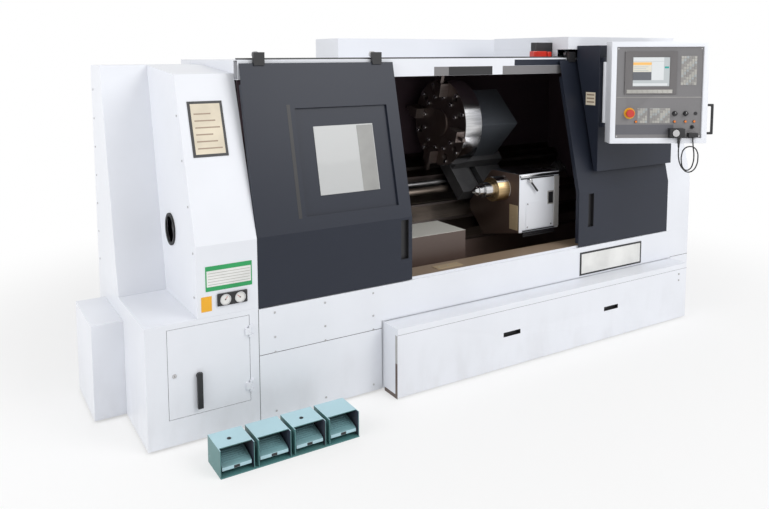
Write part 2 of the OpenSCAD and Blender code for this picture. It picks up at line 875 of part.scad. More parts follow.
module turret_disc() {
    color(STEEL) on_slant() difference() {
        union() {
            bar_x([disc_x, disc_x + disc_t], disc_r, [disc_u, 0]);
            bar_x([disc_x + disc_t - 1, disc_x + disc_t + 115], turret_shaft_r, [disc_u, 0]);
            bar_x([disc_x - 12, disc_x + 1], 95, [disc_u, 0]);
        }
        for (i = [0 : stations - 1]) translate([0, disc_u, 0]) rotate([i * 360 / stations, 0, 0])
            bar_x([disc_x - 1, disc_x + 70], station_r, [-station_ring, 0]);
    }
}

module tool_holders() {
    reach = 60;
    color(STEEL) on_slant() for (i = [2, 5, 8, 11])
        translate([0, disc_u, 0]) rotate([i * 360 / stations, 0, 0]) {
            bar_x([disc_x - 1, disc_x + 65], station_r - running, [-station_ring, 0]);
            slab([disc_x - 70, disc_x], [-station_ring - 50, -station_ring + 45], [-38, 38]);
            slab([disc_x - 58, disc_x - 33], [-station_ring - 50 - reach, -station_ring - 49], [-13, 12]);
        }
}

module z_screw() {
    at = slant_yz(screw_u, screw_n);
    color(STEEL) {
        bar_x([guard_x + 90, bed_x1 - 61], z_screw_r, at);
        bar_x([guard_x + 40, right_x + 20], z_screw_r - 7, at);
    }
}

module z_drive() {
    at = slant_yz(screw_u, screw_n);
    color(IRON) {
        for (x = [guard_x + 35, bed_x1 - 60]) difference() {
            on_slant() slab([x, x + 54], [screw_u - channel, screw_u + channel],
                [screw_n - channel - 10, screw_n + channel]);
            bar_x([x - 1, x + 55], z_screw_r - 7 + running, at);
        }
        difference() {
            bar_x([right_x + sheet, right_x + 190], 70, at);
            bar_x([right_x, right_x + 25], z_screw_r - 7 + running, at);
        }
    }
}

// Tailstock

module tailstock() {
    at = [axis_y, axis_h];
    x = [tail_x, tail_x + tail_l];
    front = axis_y - 174;
    color(WHITE) difference() {
        union() {
            along_x(x, [[front, axis_h - 286], [front, axis_h + 114], [axis_y + 116, axis_h + 114],
                slant_yz(150, -way_n + 45), slant_yz(120, seat_n), slant_yz(bed_u0, seat_n)]);
            bar_x([tail_x - 100, tail_x + 1], tail_nose_r, at);
        }
        bar_x([tail_x - 101, x[1] - 40], quill_r + running, at);
    }
}

module quill() {
    at = [axis_y, axis_h];
    x0 = tail_x - 100 - quill_out;
    color(STEEL) difference() {
        bar_x([x0, tail_x + tail_l - 170], quill_r, at);
        bar_x([x0 - 1, x0 + shank_l + 5], 20 + running, at);
    }
}

module live_centre() {
    x0 = tail_x - 100 - quill_out;
    color(STEEL) translate([x0, axis_y, axis_h]) rotate([0, -90, 0]) rotate_extrude()
        polygon([[0, -shank_l], [20, -shank_l], [20, 0.5], [centre_r, 0.5], [centre_r, 40],
            [centre_r - 8, 45], [0, centre_l]]);
}

// Doors

module door(x, pane_x, pull_x) {
    difference() {
        union() {
            slab(x, [0, sheet], [door_z0, door_bend_h]);
            on_door_slope() slab(x, [0, sheet], [0, door_slope_l]);
            for (e = [x[0], x[1] - sheet]) {
                slab([e, e + sheet], [0, door_flange], [door_z0 + 24, door_bend_h]);
                on_door_slope() slab([e, e + sheet], [0, door_flange], [0, door_slope_l - 110]);
            }
            slab(x, [0, door_flange], [door_z0 + 24, door_z0 + 24 + sheet]);
            slab([pull_x - sheet, pull_x + pull_w + sheet], [0, pull_d + sheet],
                [door_bend_h - 14 - pull_h - sheet, door_bend_h - 14 + sheet]);
            if (pane_x > 0) on_door_slope()
                slab([pane_x - pane_frame, pane_x + pane_w + pane_frame], [0, pane_recess + sheet],
                    [pane_z - pane_frame, pane_z + pane_h + pane_frame]);
        }
        slab([pull_x, pull_x + pull_w], [-1, pull_d], [door_bend_h - 14 - pull_h, door_bend_h - 14]);
        if (pane_x > 0) on_door_slope() {
            slab([pane_x - pane_frame + sheet, pane_x + pane_w + pane_frame - sheet], [-1, pane_recess],
                [pane_z - pane_frame + sheet, pane_z + pane_h + pane_frame - sheet]);
            slab([pane_x, pane_x + pane_w], [-1, pane_recess + sheet + 1], [pane_z, pane_z + pane_h]);
        }
    }
    for (hx = [x[0] + 110, x[1] - 110]) door_hanger(hx);
    for (sx = [x[0] + 60, x[1] - 120], y = [[7, 13.6], [20.4, 27]])
        slab([sx, sx + 60], y, [sill_h + 3, door_z0 + 25]);
}

// Bracket with a roller that runs on the header's rail.
module door_hanger(x) {
    roller_z = header_z1 + rail_h + roller_r + 0.4;
    slab([x - 30, x + 30], [door_top_y - 10, door_top_y + 14], [door_top_h - 12, roller_z + 12]);
    translate([x, door_top_y + 13, roller_z]) rotate([-90, 0, 0]) cylinder(r = 6, h = 46);
    translate([x, header_y0 + 20, roller_z]) rotate([-90, 0, 0]) cylinder(r = roller_r, h = 20);
}

module left_door() {
    x = [cab_l + door_end_gap, left_edge_x];
    color(NAVY) door(x, left_edge_x - pane_in - pane_w, left_edge_x - 24 - pull_w);
}

module right_door() {
    color(NAVY) door([right_edge_x, right_x - door_end_gap], 0, right_edge_x + 88);
}

module left_window() {
    x0 = left_edge_x - pane_in - pane_w;
    y1 = pane_recess + sheet;
    color("#c8cccf") on_door_slope()
        slab([x0, x0 + pane_w], [y1 - pane_t, y1], [pane_z, pane_z + pane_h]);
}

module access_door() {
    slot_x = hatch_x + 150;
    slot_z = hatch_z + 195;
    color(WHITE) difference() {
        slab([hatch_x, hatch_x1], [0, sheet], [hatch_z, hatch_z + hatch_h]);
        translate([slot_x, -1, slot_z]) rotate([-90, 0, 0]) cylinder(r = 8 + running, h = sheet + 2);
    }
    color(WHITE) hatch_barrels();
}

module access_handle() {
    x = hatch_x + 150;
    z = hatch_z + 195;
    color(DARK) {
        translate([x, -0.3, z]) rotate([90, 0, 0]) cylinder(r = 15, h = 12);
        translate([x, -0.3, z]) rotate([-90, 0, 0]) cylinder(r = 8, h = 20);
        slab([x - 13, x + 13], [-22, -6], [z - 165, z + 15]);
        slab([x - 45, x + 10], [14, 19], [z - 10, z + 10]);
    }
}

module coolant_tank() {
    x1 = tank_x + tank_l;
    y1 = tank_d - tank_y;
    pull_z = tank_h / 2;
    pulls = [tank_x + 0.307 * tank_l, tank_x + 0.658 * tank_l];
    color(WHITE) difference() {
        union() {
            difference() {
                slab([tank_x, x1], [-tank_y, y1], [skirt_gap, tank_h]);
                slab([tank_x + tank_t, x1 - tank_t], [tank_t - tank_y, y1 - tank_t],
                    [skirt_gap + tank_t, tank_h + 1]);
            }
            slab([tank_x, x1], [-tank_y, -2], [tank_h - tank_t, tank_h]);
            for (x = [tank_x + 60, x1 - 120], y = [30 - tank_y, y1 - 90])
                slab([x, x + 60], [y, y + 60], [0, skirt_gap + 1]);
            for (x = pulls) slab([x - tank_t, x + tank_pull_w + tank_t], [-tank_y, 30 - tank_y],
                [pull_z - tank_t, pull_z + tank_pull_h + tank_t]);
        }
        for (x = pulls)
            slab([x, x + tank_pull_w], [-tank_y - 1, 26 - tank_y], [pull_z, pull_z + tank_pull_h]);
    }
}

// Pendant

module pendant() {
    z1 = pendant_z + pendant_h;
    back = -25;
    front = back - pendant_d;
    barrel = [pendant_z + 124.5, pendant_z + 527.5];
    color(WHITE) on_pendant() difference() {
        union() {
            slab([-8, pendant_w - 8], [front, back], [pendant_z, z1]);
            slab([-8, 20], [back - 1, 0], barrel);
            translate([0, 0, barrel[0]]) cylinder(r = 20, h = barrel[1] - barrel[0]);
        }
        slab([frame_w - 8, pendant_w - 8 - frame_w], [front - 1, panel_y],
            [pendant_z + frame_w, z1 - frame_w]);
        translate([0, 0, barrel[0] - 1]) cylinder(r = hinge_r + running, h = barrel[1] - barrel[0] + 2);
        panel_knob(stop_at, stop_r * 0.6 + stop_gap, -20, 25);
    }
}

// Plate that lies on the pendant's panel, with x from the frame's left and z from its bottom.
module on_panel(x, z, t) {
    left = frame_w - 8;
    bottom = pendant_z + frame_w;
    slab([left + x[0], left + x[1]], [panel_y - t, panel_y], [bottom + z[0], bottom + z[1]]);
}

module screen() {
    color("#cfd6da") on_pendant() difference() {
        on_panel([55, 390], [285, 560], bezel_t);
        translate([0, -3, 0]) on_panel([105, 345], [335, 525], 6);
    }
}

module keypad() {
    color("#9b9a9b") on_pendant() {
        for (block = [145, 225, 292]) {
            on_panel([block - 2, block + 63], [98, 195], 1);
            for (ix = [0 : 3], iz = [0 : 5])
                on_panel([block + ix * 16, block + ix * 16 + 13], [100 + iz * 16, 113 + iz * 16], 3);
        }
        on_panel([416, 519], [343, 531], 1);
        for (ix = [0 : 5], iz = [0 : 10])
            on_panel([418 + ix * 17, 432 + ix * 17], [345 + iz * 17, 359 + iz * 17], 3);
        translate([0, -bezel_t, 0]) {
            on_panel([68, 363], [291, 315], 1);
            for (ix = [0 : 8]) on_panel([70 + ix * 33, 97 + ix * 33], [293, 313], 3);
        }
    }
}

// Button or knob on the panel, standing off by its stroke.
module panel_knob(at, r, gap, h) {
    translate([frame_w - 8 + at[0], panel_y - gap, pendant_z + frame_w + at[1]])
        rotate([90, 0, 0]) cylinder(r = r, h = h);
}

module emergency_stop() {
    color("#c8301c") on_pendant() {
        panel_knob(stop_at, stop_r * 0.6, -10, 21);
        panel_knob(stop_at, stop_r, 10, 18);
    }
}

module feed_knob() {
    color(DARK) on_pendant() panel_knob(feed_at, knob_r, 0, 20);
}

module speed_knob() {
    color(DARK) on_pendant() panel_knob(speed_at, knob_r, 0, 20);
}

module pendant_handle() {
    x0 = pendant_w - 8;
    y = -25 - pendant_d / 2;
    color(WHITE) on_pendant() {
        for (z = [pendant_z + 60, pendant_z + 245])
            slab([x0, x0 + 62], [y - 8, y + 8], [z - 8, z + 8]);
        slab([x0 + 46, x0 + 62], [y - 8, y + 8], [pendant_z + 52, pendant_z + 253]);
    }
}

module hand_unit() {
    color(DARK) on_pendant() difference() {
        union() {
            on_panel([345, 440], [5, 65], 45);
            translate(on_pendant_at([410, 22, -60])) cylinder(r1 = 5, r2 = 11, h = 66);
            on_panel([470, 530], [8, 34], 32);
        }
        translate([frame_w - 8 + 380, panel_y - 46, pendant_z + frame_w + 36]) rotate([-90, 0, 0])
            cylinder(r = 6 + running, h = 20);
    }
}

module hand_wheel() {
    color(STEEL) on_pendant() translate([frame_w - 8 + 380, panel_y - 45.4, pendant_z + frame_w + 36]) {
        rotate([90, 0, 0]) cylinder(r = 22, h = 8);
        rotate([-90, 0, 0]) cylinder(r = 6, h = 15);
    }
}

// Route of the hand unit's cord on the pendant: x, y forward of the panel, z above its bottom.
cord_route = [
    [410, 22, -60], [410, 22, -90], [412, 23, -125], [420, 28, -165], [440, 33, -200], [468, 37, -218],
    [500, 39, -208], [522, 40, -175], [530, 40, -130], [524, 40, -85], [503, 39, -58], [472, 37, -52],
    [442, 34, -68], [428, 32, -105], [428, 30, -150], [440, 27, -190], [464, 24, -208], [490, 22, -198],
    [508, 20, -160], [512, 20, -110], [506, 20, -60], [502, 20, -20], [500, 20, 8]
];

function on_pendant_at(p) = [frame_w - 8 + p[0], panel_y - p[1], pendant_z + frame_w + p[2]];
function cord_at(i) = on_pendant_at(cord_route[i]);
function unit(v) = v / norm(v);
function cord_run(i) = unit(cord_at(min(i + 1, len(cord_route) - 1)) - cord_at(max(i - 1, 0)));

module hand_cord() {
    sides = 8;
    rings = len(cord_route);
    rim = [for (i = [0 : rings - 1]) let (
            run = i == 0 || i == rings - 1 ? [0, 0, i == 0 ? -1 : 1] : cord_run(i),
            across = unit(cross(run, [0, 1, 0])),
            up = cross(across, run)
        ) for (k = [0 : sides - 1])
            cord_at(i) + cord_d / 2 * (cos(360 * k / sides) * across + sin(360 * k / sides) * up)];
    walls = [for (i = [0 : rings - 2], k = [0 : sides - 1]) let (
            a = i * sides + k, b = i * sides + (k + 1) % sides
        ) [a, b, b + sides, a + sides]];
    first = [for (k = [sides - 1 : -1 : 0]) k];
    last = [for (k = [0 : sides - 1]) (rings - 1) * sides + k];
    color(DARK) on_pendant() polyhedron(rim, concat(walls, [first, last]), convexity = 8);
}

// Pedals

module pedal_guards() {
    n = 4;
    y0 = -pedal_y;
    y1 = y0 + guard_d;
    plate = 5;
    color(TEAL) {
        slab([pedal_x, pedal_x + (n - 1) * guard_pitch + guard_w], [y0, y1], [0, plate]);
        for (i = [0 : n - 1]) {
            x0 = pedal_x + i * guard_pitch;
            x1 = x0 + guard_w;
            for (x = [x0, x1 - guard_t]) difference() {
                slab([x, x + guard_t], [y0 + 4, y1], [plate - 1, guard_h]);
                bar_x([x - 1, x + guard_t + 1], 5 + running, [y1 - 25, 40]);
            }
            slab([x0, x1], [y1 - guard_t, y1], [plate - 1, guard_h]);
            slab([x0, x1], [y0 + 30, y1], [guard_h - guard_t, guard_h]);
        }
    }
}

module pedal(i) {
    x0 = pedal_x + (i - 1) * guard_pitch;
    x1 = x0 + guard_w;
    y0 = -pedal_y;
    y1 = y0 + guard_d;
    side = guard_t + 8;
    color(TEAL) {
        along_x([x0 + side, x1 - side], [[y0 + 14, 28], [y0 + 14, 44], [y0 + 30, 52], [y1 - 60, 74],
            [y1 - 20, 74], [y1 - 15, 66], [y1 - 15, 32], [y1 - 60, 36], [y0 + 60, 28]]);
        bar_x([x0, x1], 5, [y1 - 25, 40]);
    }
}

module pedal_1() { pedal(1); }
module pedal_2() { pedal(2); }
module pedal_3() { pedal(3); }
module pedal_4() { pedal(4); }

in_frame() bed_casting();
in_frame() levelling_feet();
in_frame() base_cabinet();
in_frame() side_box();
in_frame() rear_column();
in_frame() headstock_cover();
in_frame() front_apron();
in_frame() chip_tray();
in_frame() back_wall();
in_frame() left_guard();
in_frame() right_guard();
in_frame() roof_panel();
in_frame() door_header();
in_frame() right_end_cover();
in_frame() top_housing();
in_frame() control_housing();
in_frame() rear_cabinet();
in_frame() headstock();
in_frame() spindle_bearings();
in_frame() drive_motor();
in_frame() drive_belts();
in_frame() z_drive();
in_frame() pedal_guards();
in_frame() left_door();
in_frame() left_window();
in_frame() right_door();
in_frame() access_door();
in_frame() access_handle();
in_frame() coolant_tank();
in_frame() spindle();
in_frame() spindle_pulley();
in_frame() chuck();
in_frame() jaw_1();
in_frame() jaw_2();
in_frame() jaw_3();
in_frame() motor_pulley();
in_frame() saddle();
in_frame() cross_slide();
in_frame() turret_body();
in_frame() turret_disc();
in_frame() tool_holders();
in_frame() z_screw();
in_frame() x_screw();
in_frame() tailstock();
in_frame() quill();
in_frame() live_centre();
in_frame() pendant();
in_frame() screen();
in_frame() keypad();
in_frame() emergency_stop();
in_frame() feed_knob();
in_frame() speed_knob();
in_frame() pendant_handle();
in_frame() hand_unit();
in_frame() hand_wheel();
in_frame() hand_cord();
in_frame() pedal_1();
in_frame() pedal_2();
in_frame() pedal_3();
in_frame() pedal_4();
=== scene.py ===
"""Slant-bed CNC turning lathe: finishes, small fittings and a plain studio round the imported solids."""

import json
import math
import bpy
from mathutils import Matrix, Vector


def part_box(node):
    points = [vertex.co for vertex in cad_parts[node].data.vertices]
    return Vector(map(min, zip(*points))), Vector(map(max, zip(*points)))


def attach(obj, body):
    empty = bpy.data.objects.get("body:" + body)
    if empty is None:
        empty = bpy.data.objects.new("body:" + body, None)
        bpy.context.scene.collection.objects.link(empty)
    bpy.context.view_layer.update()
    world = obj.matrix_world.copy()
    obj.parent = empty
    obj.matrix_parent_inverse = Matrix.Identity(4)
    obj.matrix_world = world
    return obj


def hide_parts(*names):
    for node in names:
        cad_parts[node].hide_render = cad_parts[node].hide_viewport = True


bl_info = {
    "name": "Slant-bed lathe dressing",
    "version": (1, 0, 0),
    "blender": (4, 5, 0),
    "location": "View3D > Sidebar > Lathe",
    "description": "Dresses the packed solids of a CNC turning lathe",
    "category": "Object",
}

import bmesh
import bpy
from mathutils import Matrix, Vector

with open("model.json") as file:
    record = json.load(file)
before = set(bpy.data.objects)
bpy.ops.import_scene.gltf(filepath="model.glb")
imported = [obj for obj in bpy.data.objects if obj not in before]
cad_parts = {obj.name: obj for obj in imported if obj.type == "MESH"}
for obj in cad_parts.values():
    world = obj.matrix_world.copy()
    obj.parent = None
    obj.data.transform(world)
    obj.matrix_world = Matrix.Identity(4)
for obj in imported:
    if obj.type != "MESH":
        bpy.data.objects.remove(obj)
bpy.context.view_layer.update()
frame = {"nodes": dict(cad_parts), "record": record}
JOINTS = {joint["name"]: joint for joint in frame["record"]["behaviour"]["joints"]}

# Front left corner of the base on the floor: sizes below are measured from it.
CORNER = Vector((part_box("rear_column")[0][0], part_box("front_apron")[0][1], 0.0))


def corner_point(x, y, z):
    return CORNER + Vector((x, y, z))


def plane(origin, across, up=(0, 0, 1)):
    """Matrix whose x runs across a face, y runs into it and z runs up it."""
    across, up = Vector(across).normalized(), Vector(up).normalized()
    turn = Matrix((across, up.cross(across), up)).transposed().to_4x4()
    return Matrix.Translation(origin) @ turn


def set_in(place, depth):
    """A face's matrix, moved into the face by depth."""
    return place @ Matrix.Translation((0, depth, 0))


def upright(x, y, z):
    """Matrix of a level face, for a disc that stands up from it."""
    return Matrix.Translation(corner_point(x, y, z)) @ Matrix.Rotation(math.radians(-90), 4, "X")


def limits(node):
    """Low and high corner of a solid's box."""
    return [Vector(point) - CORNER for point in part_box(node)]


def lowest(node):
    return limits(node)[0]


def highest(node):
    return limits(node)[1]


DOOR_BEND = Vector((0.0, 0.0, 0.983))
DOOR_TOP = Vector((0.0, 0.207, 1.861))
COVER_BEND = Vector((0.0, 0.0, 0.980))
COVER_TOP = Vector((0.0, 0.285, 1.808))
SILL = highest("front_apron").z - 0.014
AXIS = Vector(JOINTS["spindle_spin"]["pos_m"]) - CORNER
FRONT = Matrix.Translation(CORNER)
COVER_SLOPE = plane(CORNER + COVER_BEND, (1, 0, 0), COVER_TOP - COVER_BEND)
DOOR_SLOPE = plane(CORNER + DOOR_BEND, (1, 0, 0), DOOR_TOP - DOOR_BEND)
LEFT_SIDE = plane(CORNER, (0, -1, 0))
STAND = Matrix.Rotation(math.radians(90), 4, "X")

# Lower left corner of the operator panel, measured from the pendant's hinge and foot.
PANEL_LEFT, PANEL_DEPTH, PANEL_RISE = 0.026, 0.125, 0.034
INWARD = Vector(JOINTS["emergency_stop_press"]["axis"])
ACROSS = Vector((INWARD.y, -INWARD.x, 0))
HINGE = Vector(JOINTS["pendant_swing"]["pos_m"])
PANEL_FOOT = Vector((HINGE.x, HINGE.y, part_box("pendant")[0][2] + PANEL_RISE))
PANEL = plane(PANEL_FOOT + ACROSS * PANEL_LEFT - INWARD * PANEL_DEPTH, ACROSS)

# Angles in degrees: edges sharper than these are shaded flat.
SHARP_ANGLE, SHEET_ANGLE = 20.0, 10.0


# Property groups


def colour(name, words, value):
    return bpy.props.FloatVectorProperty(
        name=name, description=words, default=value, subtype="COLOR", size=3, min=0.0, max=1.0
    )


def number(name, words, value, least=0.0, unit="NONE"):
    return bpy.props.FloatProperty(name=name, description=words, default=value, min=least, unit=unit)


def length(name, words, value):
    return number(name, words, value, unit="LENGTH")


class LatheFinishes(bpy.types.PropertyGroup):
    """Colours of the lathe."""

    cover_white: colour("Covers", "White enamel of the sheet-metal covers", (0.80, 0.82, 0.87))
    door_navy: colour("Doors", "Navy enamel of the doors", (0.016, 0.020, 0.033))
    # The near-black of the work zone is painted shade.
    inside_dark: colour("Inside", "Dark work zone, as painted shade", (0.075, 0.050, 0.060))
    turret_grey: colour("Turret", "Grey-blue enamel of the turret body", (0.085, 0.095, 0.11))
    pedal_teal: colour("Pedals", "Teal enamel of the pedal guards", (0.080, 0.215, 0.215))
    # Pale teal on the tops of the guards and the fronts of the treadles is a painted highlight.
    pedal_pale: colour("Pedal tops", "Painted highlight on the pedal tops and fronts", (0.46, 0.68, 0.75))
    panel_grey: colour("Panel", "Grey of the operator panel", (0.19, 0.185, 0.19))
    iron: colour("Iron", "Cast iron of the bed", (0.11, 0.11, 0.115))
    steel: colour("Steel", "Bright machined steel", (0.56, 0.56, 0.57))
    sill_brown: colour("Sill", "Oily sill below the doors", (0.34, 0.25, 0.175))
    stop_red: colour("Stop", "Red of the emergency stop", (0.60, 0.03, 0.015))
    plate_green: colour("Plate bands", "Green bands of the data plate", (0.02, 0.33, 0.10))
    plate_yellow: colour("Yellow plate", "Small yellow plate", (0.85, 0.42, 0.02))
    floor: colour("Floor", "Pale studio floor", (0.90, 0.90, 0.90))


class LatheSizes(bpy.types.PropertyGroup):
    """Sizes of the small fittings."""

    sheet_edge: length("Sheet edge", "Rounding of the sheet-metal edges", 0.0012)
    casting_edge: length("Casting edge", "Rounding of castings and housings", 0.003)
    fine_edge: length("Fine edge", "Rounding of knobs, jaws and keys", 0.0008)
    screw_head: length("Screw head", "Radius of the cover screws", 0.006)
    plate_thickness: length("Plate thickness", "Thickness of the plates", 0.0015)
    seam: length("Seam", "Width of the seams between covers", 0.003)


class LatheStage(bpy.types.PropertyGroup):
    """Studio round the lathe."""

    key_power: number("Key light", "Power of the front light", 250.0, unit="POWER")
    fill_power: number("Fill light", "Power of the left light", 120.0, unit="POWER")
    sky: number("Sky", "Strength of the even light", 0.62)
    lens: number("Lens", "Focal length of the camera in millimetres", 34.63, 1.0)
    floor_half: length("Floor", "Half width of the studio floor", 14.0)


def finishes():
    return bpy.context.scene.lathe_finishes


def sizes():
    return bpy.context.scene.lathe_sizes


# Shared shader effects


def feed(socket, value):
    """Links another node's output to a socket, or sets the socket to a constant."""
    if isinstance(value, bpy.types.NodeSocket):
        socket.id_data.links.new(value, socket)
    else:
        socket.default_value = value


def feed_all(node, **values):
    """Feeds a node's inputs by name, with underscores for spaces."""
    for name, value in values.items():
        feed(node.inputs[name.replace("_", " ")], value)


def add_node(tree, kind, **values):
    node = tree.nodes.new(kind)
    feed_all(node, **values)
    return node


def start_group(name, inputs, outputs):
    """Node group with float inputs {name: default} and float outputs."""
    group = bpy.data.node_groups.new(name, "ShaderNodeTree")
    for key, default in inputs.items():
        socket = group.interface.new_socket(key, in_out="INPUT", socket_type="NodeSocketFloat")
        socket.default_value, socket.min_value, socket.max_value = default, 0.0, 5000.0
    for key in outputs:
        group.interface.new_socket(key, in_out="OUTPUT", socket_type="NodeSocketFloat")
    return group, group.nodes.new("NodeGroupInput").outputs, group.nodes.new("NodeGroupOutput")


def noise(tree, scale, detail, stretch=None):
    """Noise on Object coordinates, stretched by a Mapping node where asked."""
    vector = add_node(tree, "ShaderNodeTexCoord").outputs["Object"]
    if stretch:
        vector = add_node(tree, "ShaderNodeMapping", Scale=stretch, Vector=vector).outputs["Vector"]
    return add_node(tree, "ShaderNodeTexNoise", Detail=detail, Vector=vector, Scale=scale).outputs["Fac"]


def ramp(tree, value, low, high, to_low=0.0, to_high=1.0):
    """Smooth step of a value from low and high to to_low and to_high."""
    node = add_node(tree, "ShaderNodeMapRange", Value=value)
    node.interpolation_type = "SMOOTHSTEP"
    feed_all(node, From_Min=low, From_Max=high, To_Min=to_low, To_Max=to_high)
    return node.outputs["Result"]


def maths(tree, kind, left, right):
    node = add_node(tree, "ShaderNodeMath")
    node.operation = kind
    for socket, value in zip(node.inputs, (left, right)):
        feed(socket, value)
    return node.outputs["Value"]


def build_enamel_group():
    """Sprayed enamel: slow change of tone, orange peel, scuffs, and soil near the floor."""
    group, entry, leave = start_group(
        "Sprayed enamel", {"Peel scale": 420.0, "Soil": 0.3, "Scuffs": 0.2},
        ("Tone", "Soil mask", "Scuff mask", "Height"),
    )
    tone = ramp(group, noise(group, 1.7, 4.0), 0.3, 0.7, 0.97, 1.02)
    coords = add_node(group, "ShaderNodeTexCoord").outputs["Object"]
    height = add_node(group, "ShaderNodeSeparateXYZ", Vector=coords).outputs["Z"]
    near_floor = ramp(group, height, 0.0, 0.42, 1.0, 0.0)
    blotch = ramp(group, noise(group, 9.0, 8.0, (1.0, 1.0, 0.35)), 0.42, 0.70)
    soil = maths(group, "MULTIPLY", maths(group, "MULTIPLY", near_floor, blotch), entry["Soil"])
    rub = ramp(group, noise(group, 26.0, 10.0, (0.35, 1.0, 1.6)), 0.60, 0.74)
    feed_all(leave, Tone=tone, Soil_mask=soil, Scuff_mask=maths(group, "MULTIPLY", rub, entry["Scuffs"]),
             Height=noise(group, entry["Peel scale"], 2.0))
    return group


def build_machined_group():
    """Machined metal: fine lines along one way, and stains."""
    group, entry, leave = start_group(
        "Machined lines", {"Line scale": 60.0, "Stain": 0.3}, ("Lines", "Stain mask")
    )
    stain = ramp(group, noise(group, 5.0, 3.0), 0.40, 0.75)
    feed_all(leave, Lines=noise(group, entry["Line scale"], 6.0, (0.05, 3.0, 3.0)),
             Stain_mask=maths(group, "MULTIPLY", stain, entry["Stain"]))
    return group


def build_cast_group():
    """Sand-cast skin: pits and grain."""
    group, entry, leave = start_group("Cast skin", {"Grain scale": 240.0}, ("Grain", "Blotch"))
    feed_all(leave, Grain=noise(group, entry["Grain scale"], 8.0), Blotch=noise(group, 6.0, 6.0))
    return group


GROUP_BUILDERS = {"enamel": build_enamel_group, "machined": build_machined_group, "cast": build_cast_group}
GROUPS = {}


def place_group(tree, key, **values):
    """Places a shared group, made when it is first asked for, and gives its outputs."""
    if key not in GROUPS:
        GROUPS[key] = GROUP_BUILDERS[key]()
    node = tree.nodes.new("ShaderNodeGroup")
    node.node_tree = GROUPS[key]
    feed_all(node, **values)
    return node.outputs


def shader(name, rough, metallic=0.0):
    material = bpy.data.materials.new(name)
    material.use_nodes = True
    principled = material.node_tree.nodes["Principled BSDF"]
    feed_all(principled, Roughness=rough, Metallic=metallic)
    return material, material.node_tree, principled


def mix_colours(tree, factor, first, second):
    node = add_node(tree, "ShaderNodeMix")
    node.data_type = "RGBA"
    feed(node.inputs[0], factor)
    for socket, value in zip((s for s in node.inputs if s.type == "RGBA"), (first, second)):
        feed(socket, value)
    return next(s for s in node.outputs if s.type == "RGBA")


def scaled_colour(tree, base, factor):
    """base times a value that changes over the surface."""
    node = add_node(tree, "ShaderNodeVectorMath")
    node.operation = "SCALE"
    feed(node.inputs[0], base)
    feed_all(node, Scale=factor)
    return node.outputs["Vector"]


def bump(tree, height, strength, distance):
    node = add_node(tree, "ShaderNodeBump", Strength=strength, Distance=distance, Height=height)
    return node.outputs["Normal"]


def dulled(tree, mask, rough):
    """Roughness that grows where the mask shows."""
    return maths(tree, "ADD", maths(tree, "MULTIPLY", mask, 0.5), rough)


def enamel(name, base, rough, soil, scuffs, peel=420.0, shine=0.5):
    """Sprayed and baked paint."""
    material, tree, principled = shader(name, rough)
    skin = place_group(tree, "enamel", Peel_scale=peel, Soil=soil, Scuffs=scuffs)
    clean = scaled_colour(tree, base, skin["Tone"])
    soiled = mix_colours(tree, skin["Soil mask"], clean, (0.16, 0.13, 0.10, 1.0))
    pale = (*(min(1.0, c * 1.6 + 0.05) for c in base), 1.0)
    feed_all(
        principled, Base_Color=mix_colours(tree, skin["Scuff mask"], soiled, pale),
        Roughness=dulled(tree, skin["Scuff mask"], rough), Normal=bump(tree, skin["Height"], 0.12, 0.0004),
        Specular_IOR_Level=shine, Coat_Weight=shine * 0.2, Coat_Roughness=0.25,
    )
    return material


def machined(name, base, rough=0.30, lines=60.0, stain=0.3, stain_colour=(0.10, 0.07, 0.045)):
    """Turned, milled or ground metal."""
    material, tree, principled = shader(name, rough, 1.0)
    skin = place_group(tree, "machined", Line_scale=lines, Stain=stain)
    clean = scaled_colour(tree, base, ramp(tree, skin["Lines"], 0.25, 0.75, 0.78, 1.08))
    feed_all(
        principled, Base_Color=mix_colours(tree, skin["Stain mask"], clean, (*stain_colour, 1.0)),
        Roughness=dulled(tree, skin["Stain mask"], rough), Normal=bump(tree, skin["Lines"], 0.10, 0.0005),
    )
    return material


def cast_iron(name, base, rough=0.55):
    """Rough casting with a thin coat of oil."""
    material, tree, principled = shader(name, rough, 0.35)
    skin = place_group(tree, "cast")
    tone = ramp(tree, skin["Blotch"], 0.3, 0.7, 0.75, 1.2)
    feed_all(principled, Base_Color=scaled_colour(tree, base, tone),
             Normal=bump(tree, skin["Grain"], 0.35, 0.0015))
    return material


def moulded(name, base, rough, grain=700.0, coat=0.0):
    """Moulded plastic or rubber with a fine texture."""
    material, tree, principled = shader(name, rough)
    skin = place_group(tree, "cast", Grain_scale=grain)
    tone = ramp(tree, skin["Blotch"], 0.3, 0.7, 0.90, 1.08)
    feed_all(principled, Base_Color=scaled_colour(tree, base, tone),
             Normal=bump(tree, skin["Grain"], 0.15, 0.0003), Coat_Weight=coat)
    return material


def lit(name, base, strength):
    """Part of the display, or a lamp."""
    material, _, principled = shader(name, 0.25)
    feed_all(principled, Base_Color=(*base, 1.0), Emission_Color=(*base, 1.0), Emission_Strength=strength)
    return material


def clear_pane(name, base):
    """Laminated window with a faint frosting."""
    material, _, principled = shader(name, 0.28)
    feed_all(principled, Base_Color=(*base, 1.0), Transmission_Weight=0.12, IOR=1.5, Coat_Weight=0.2)
    return material


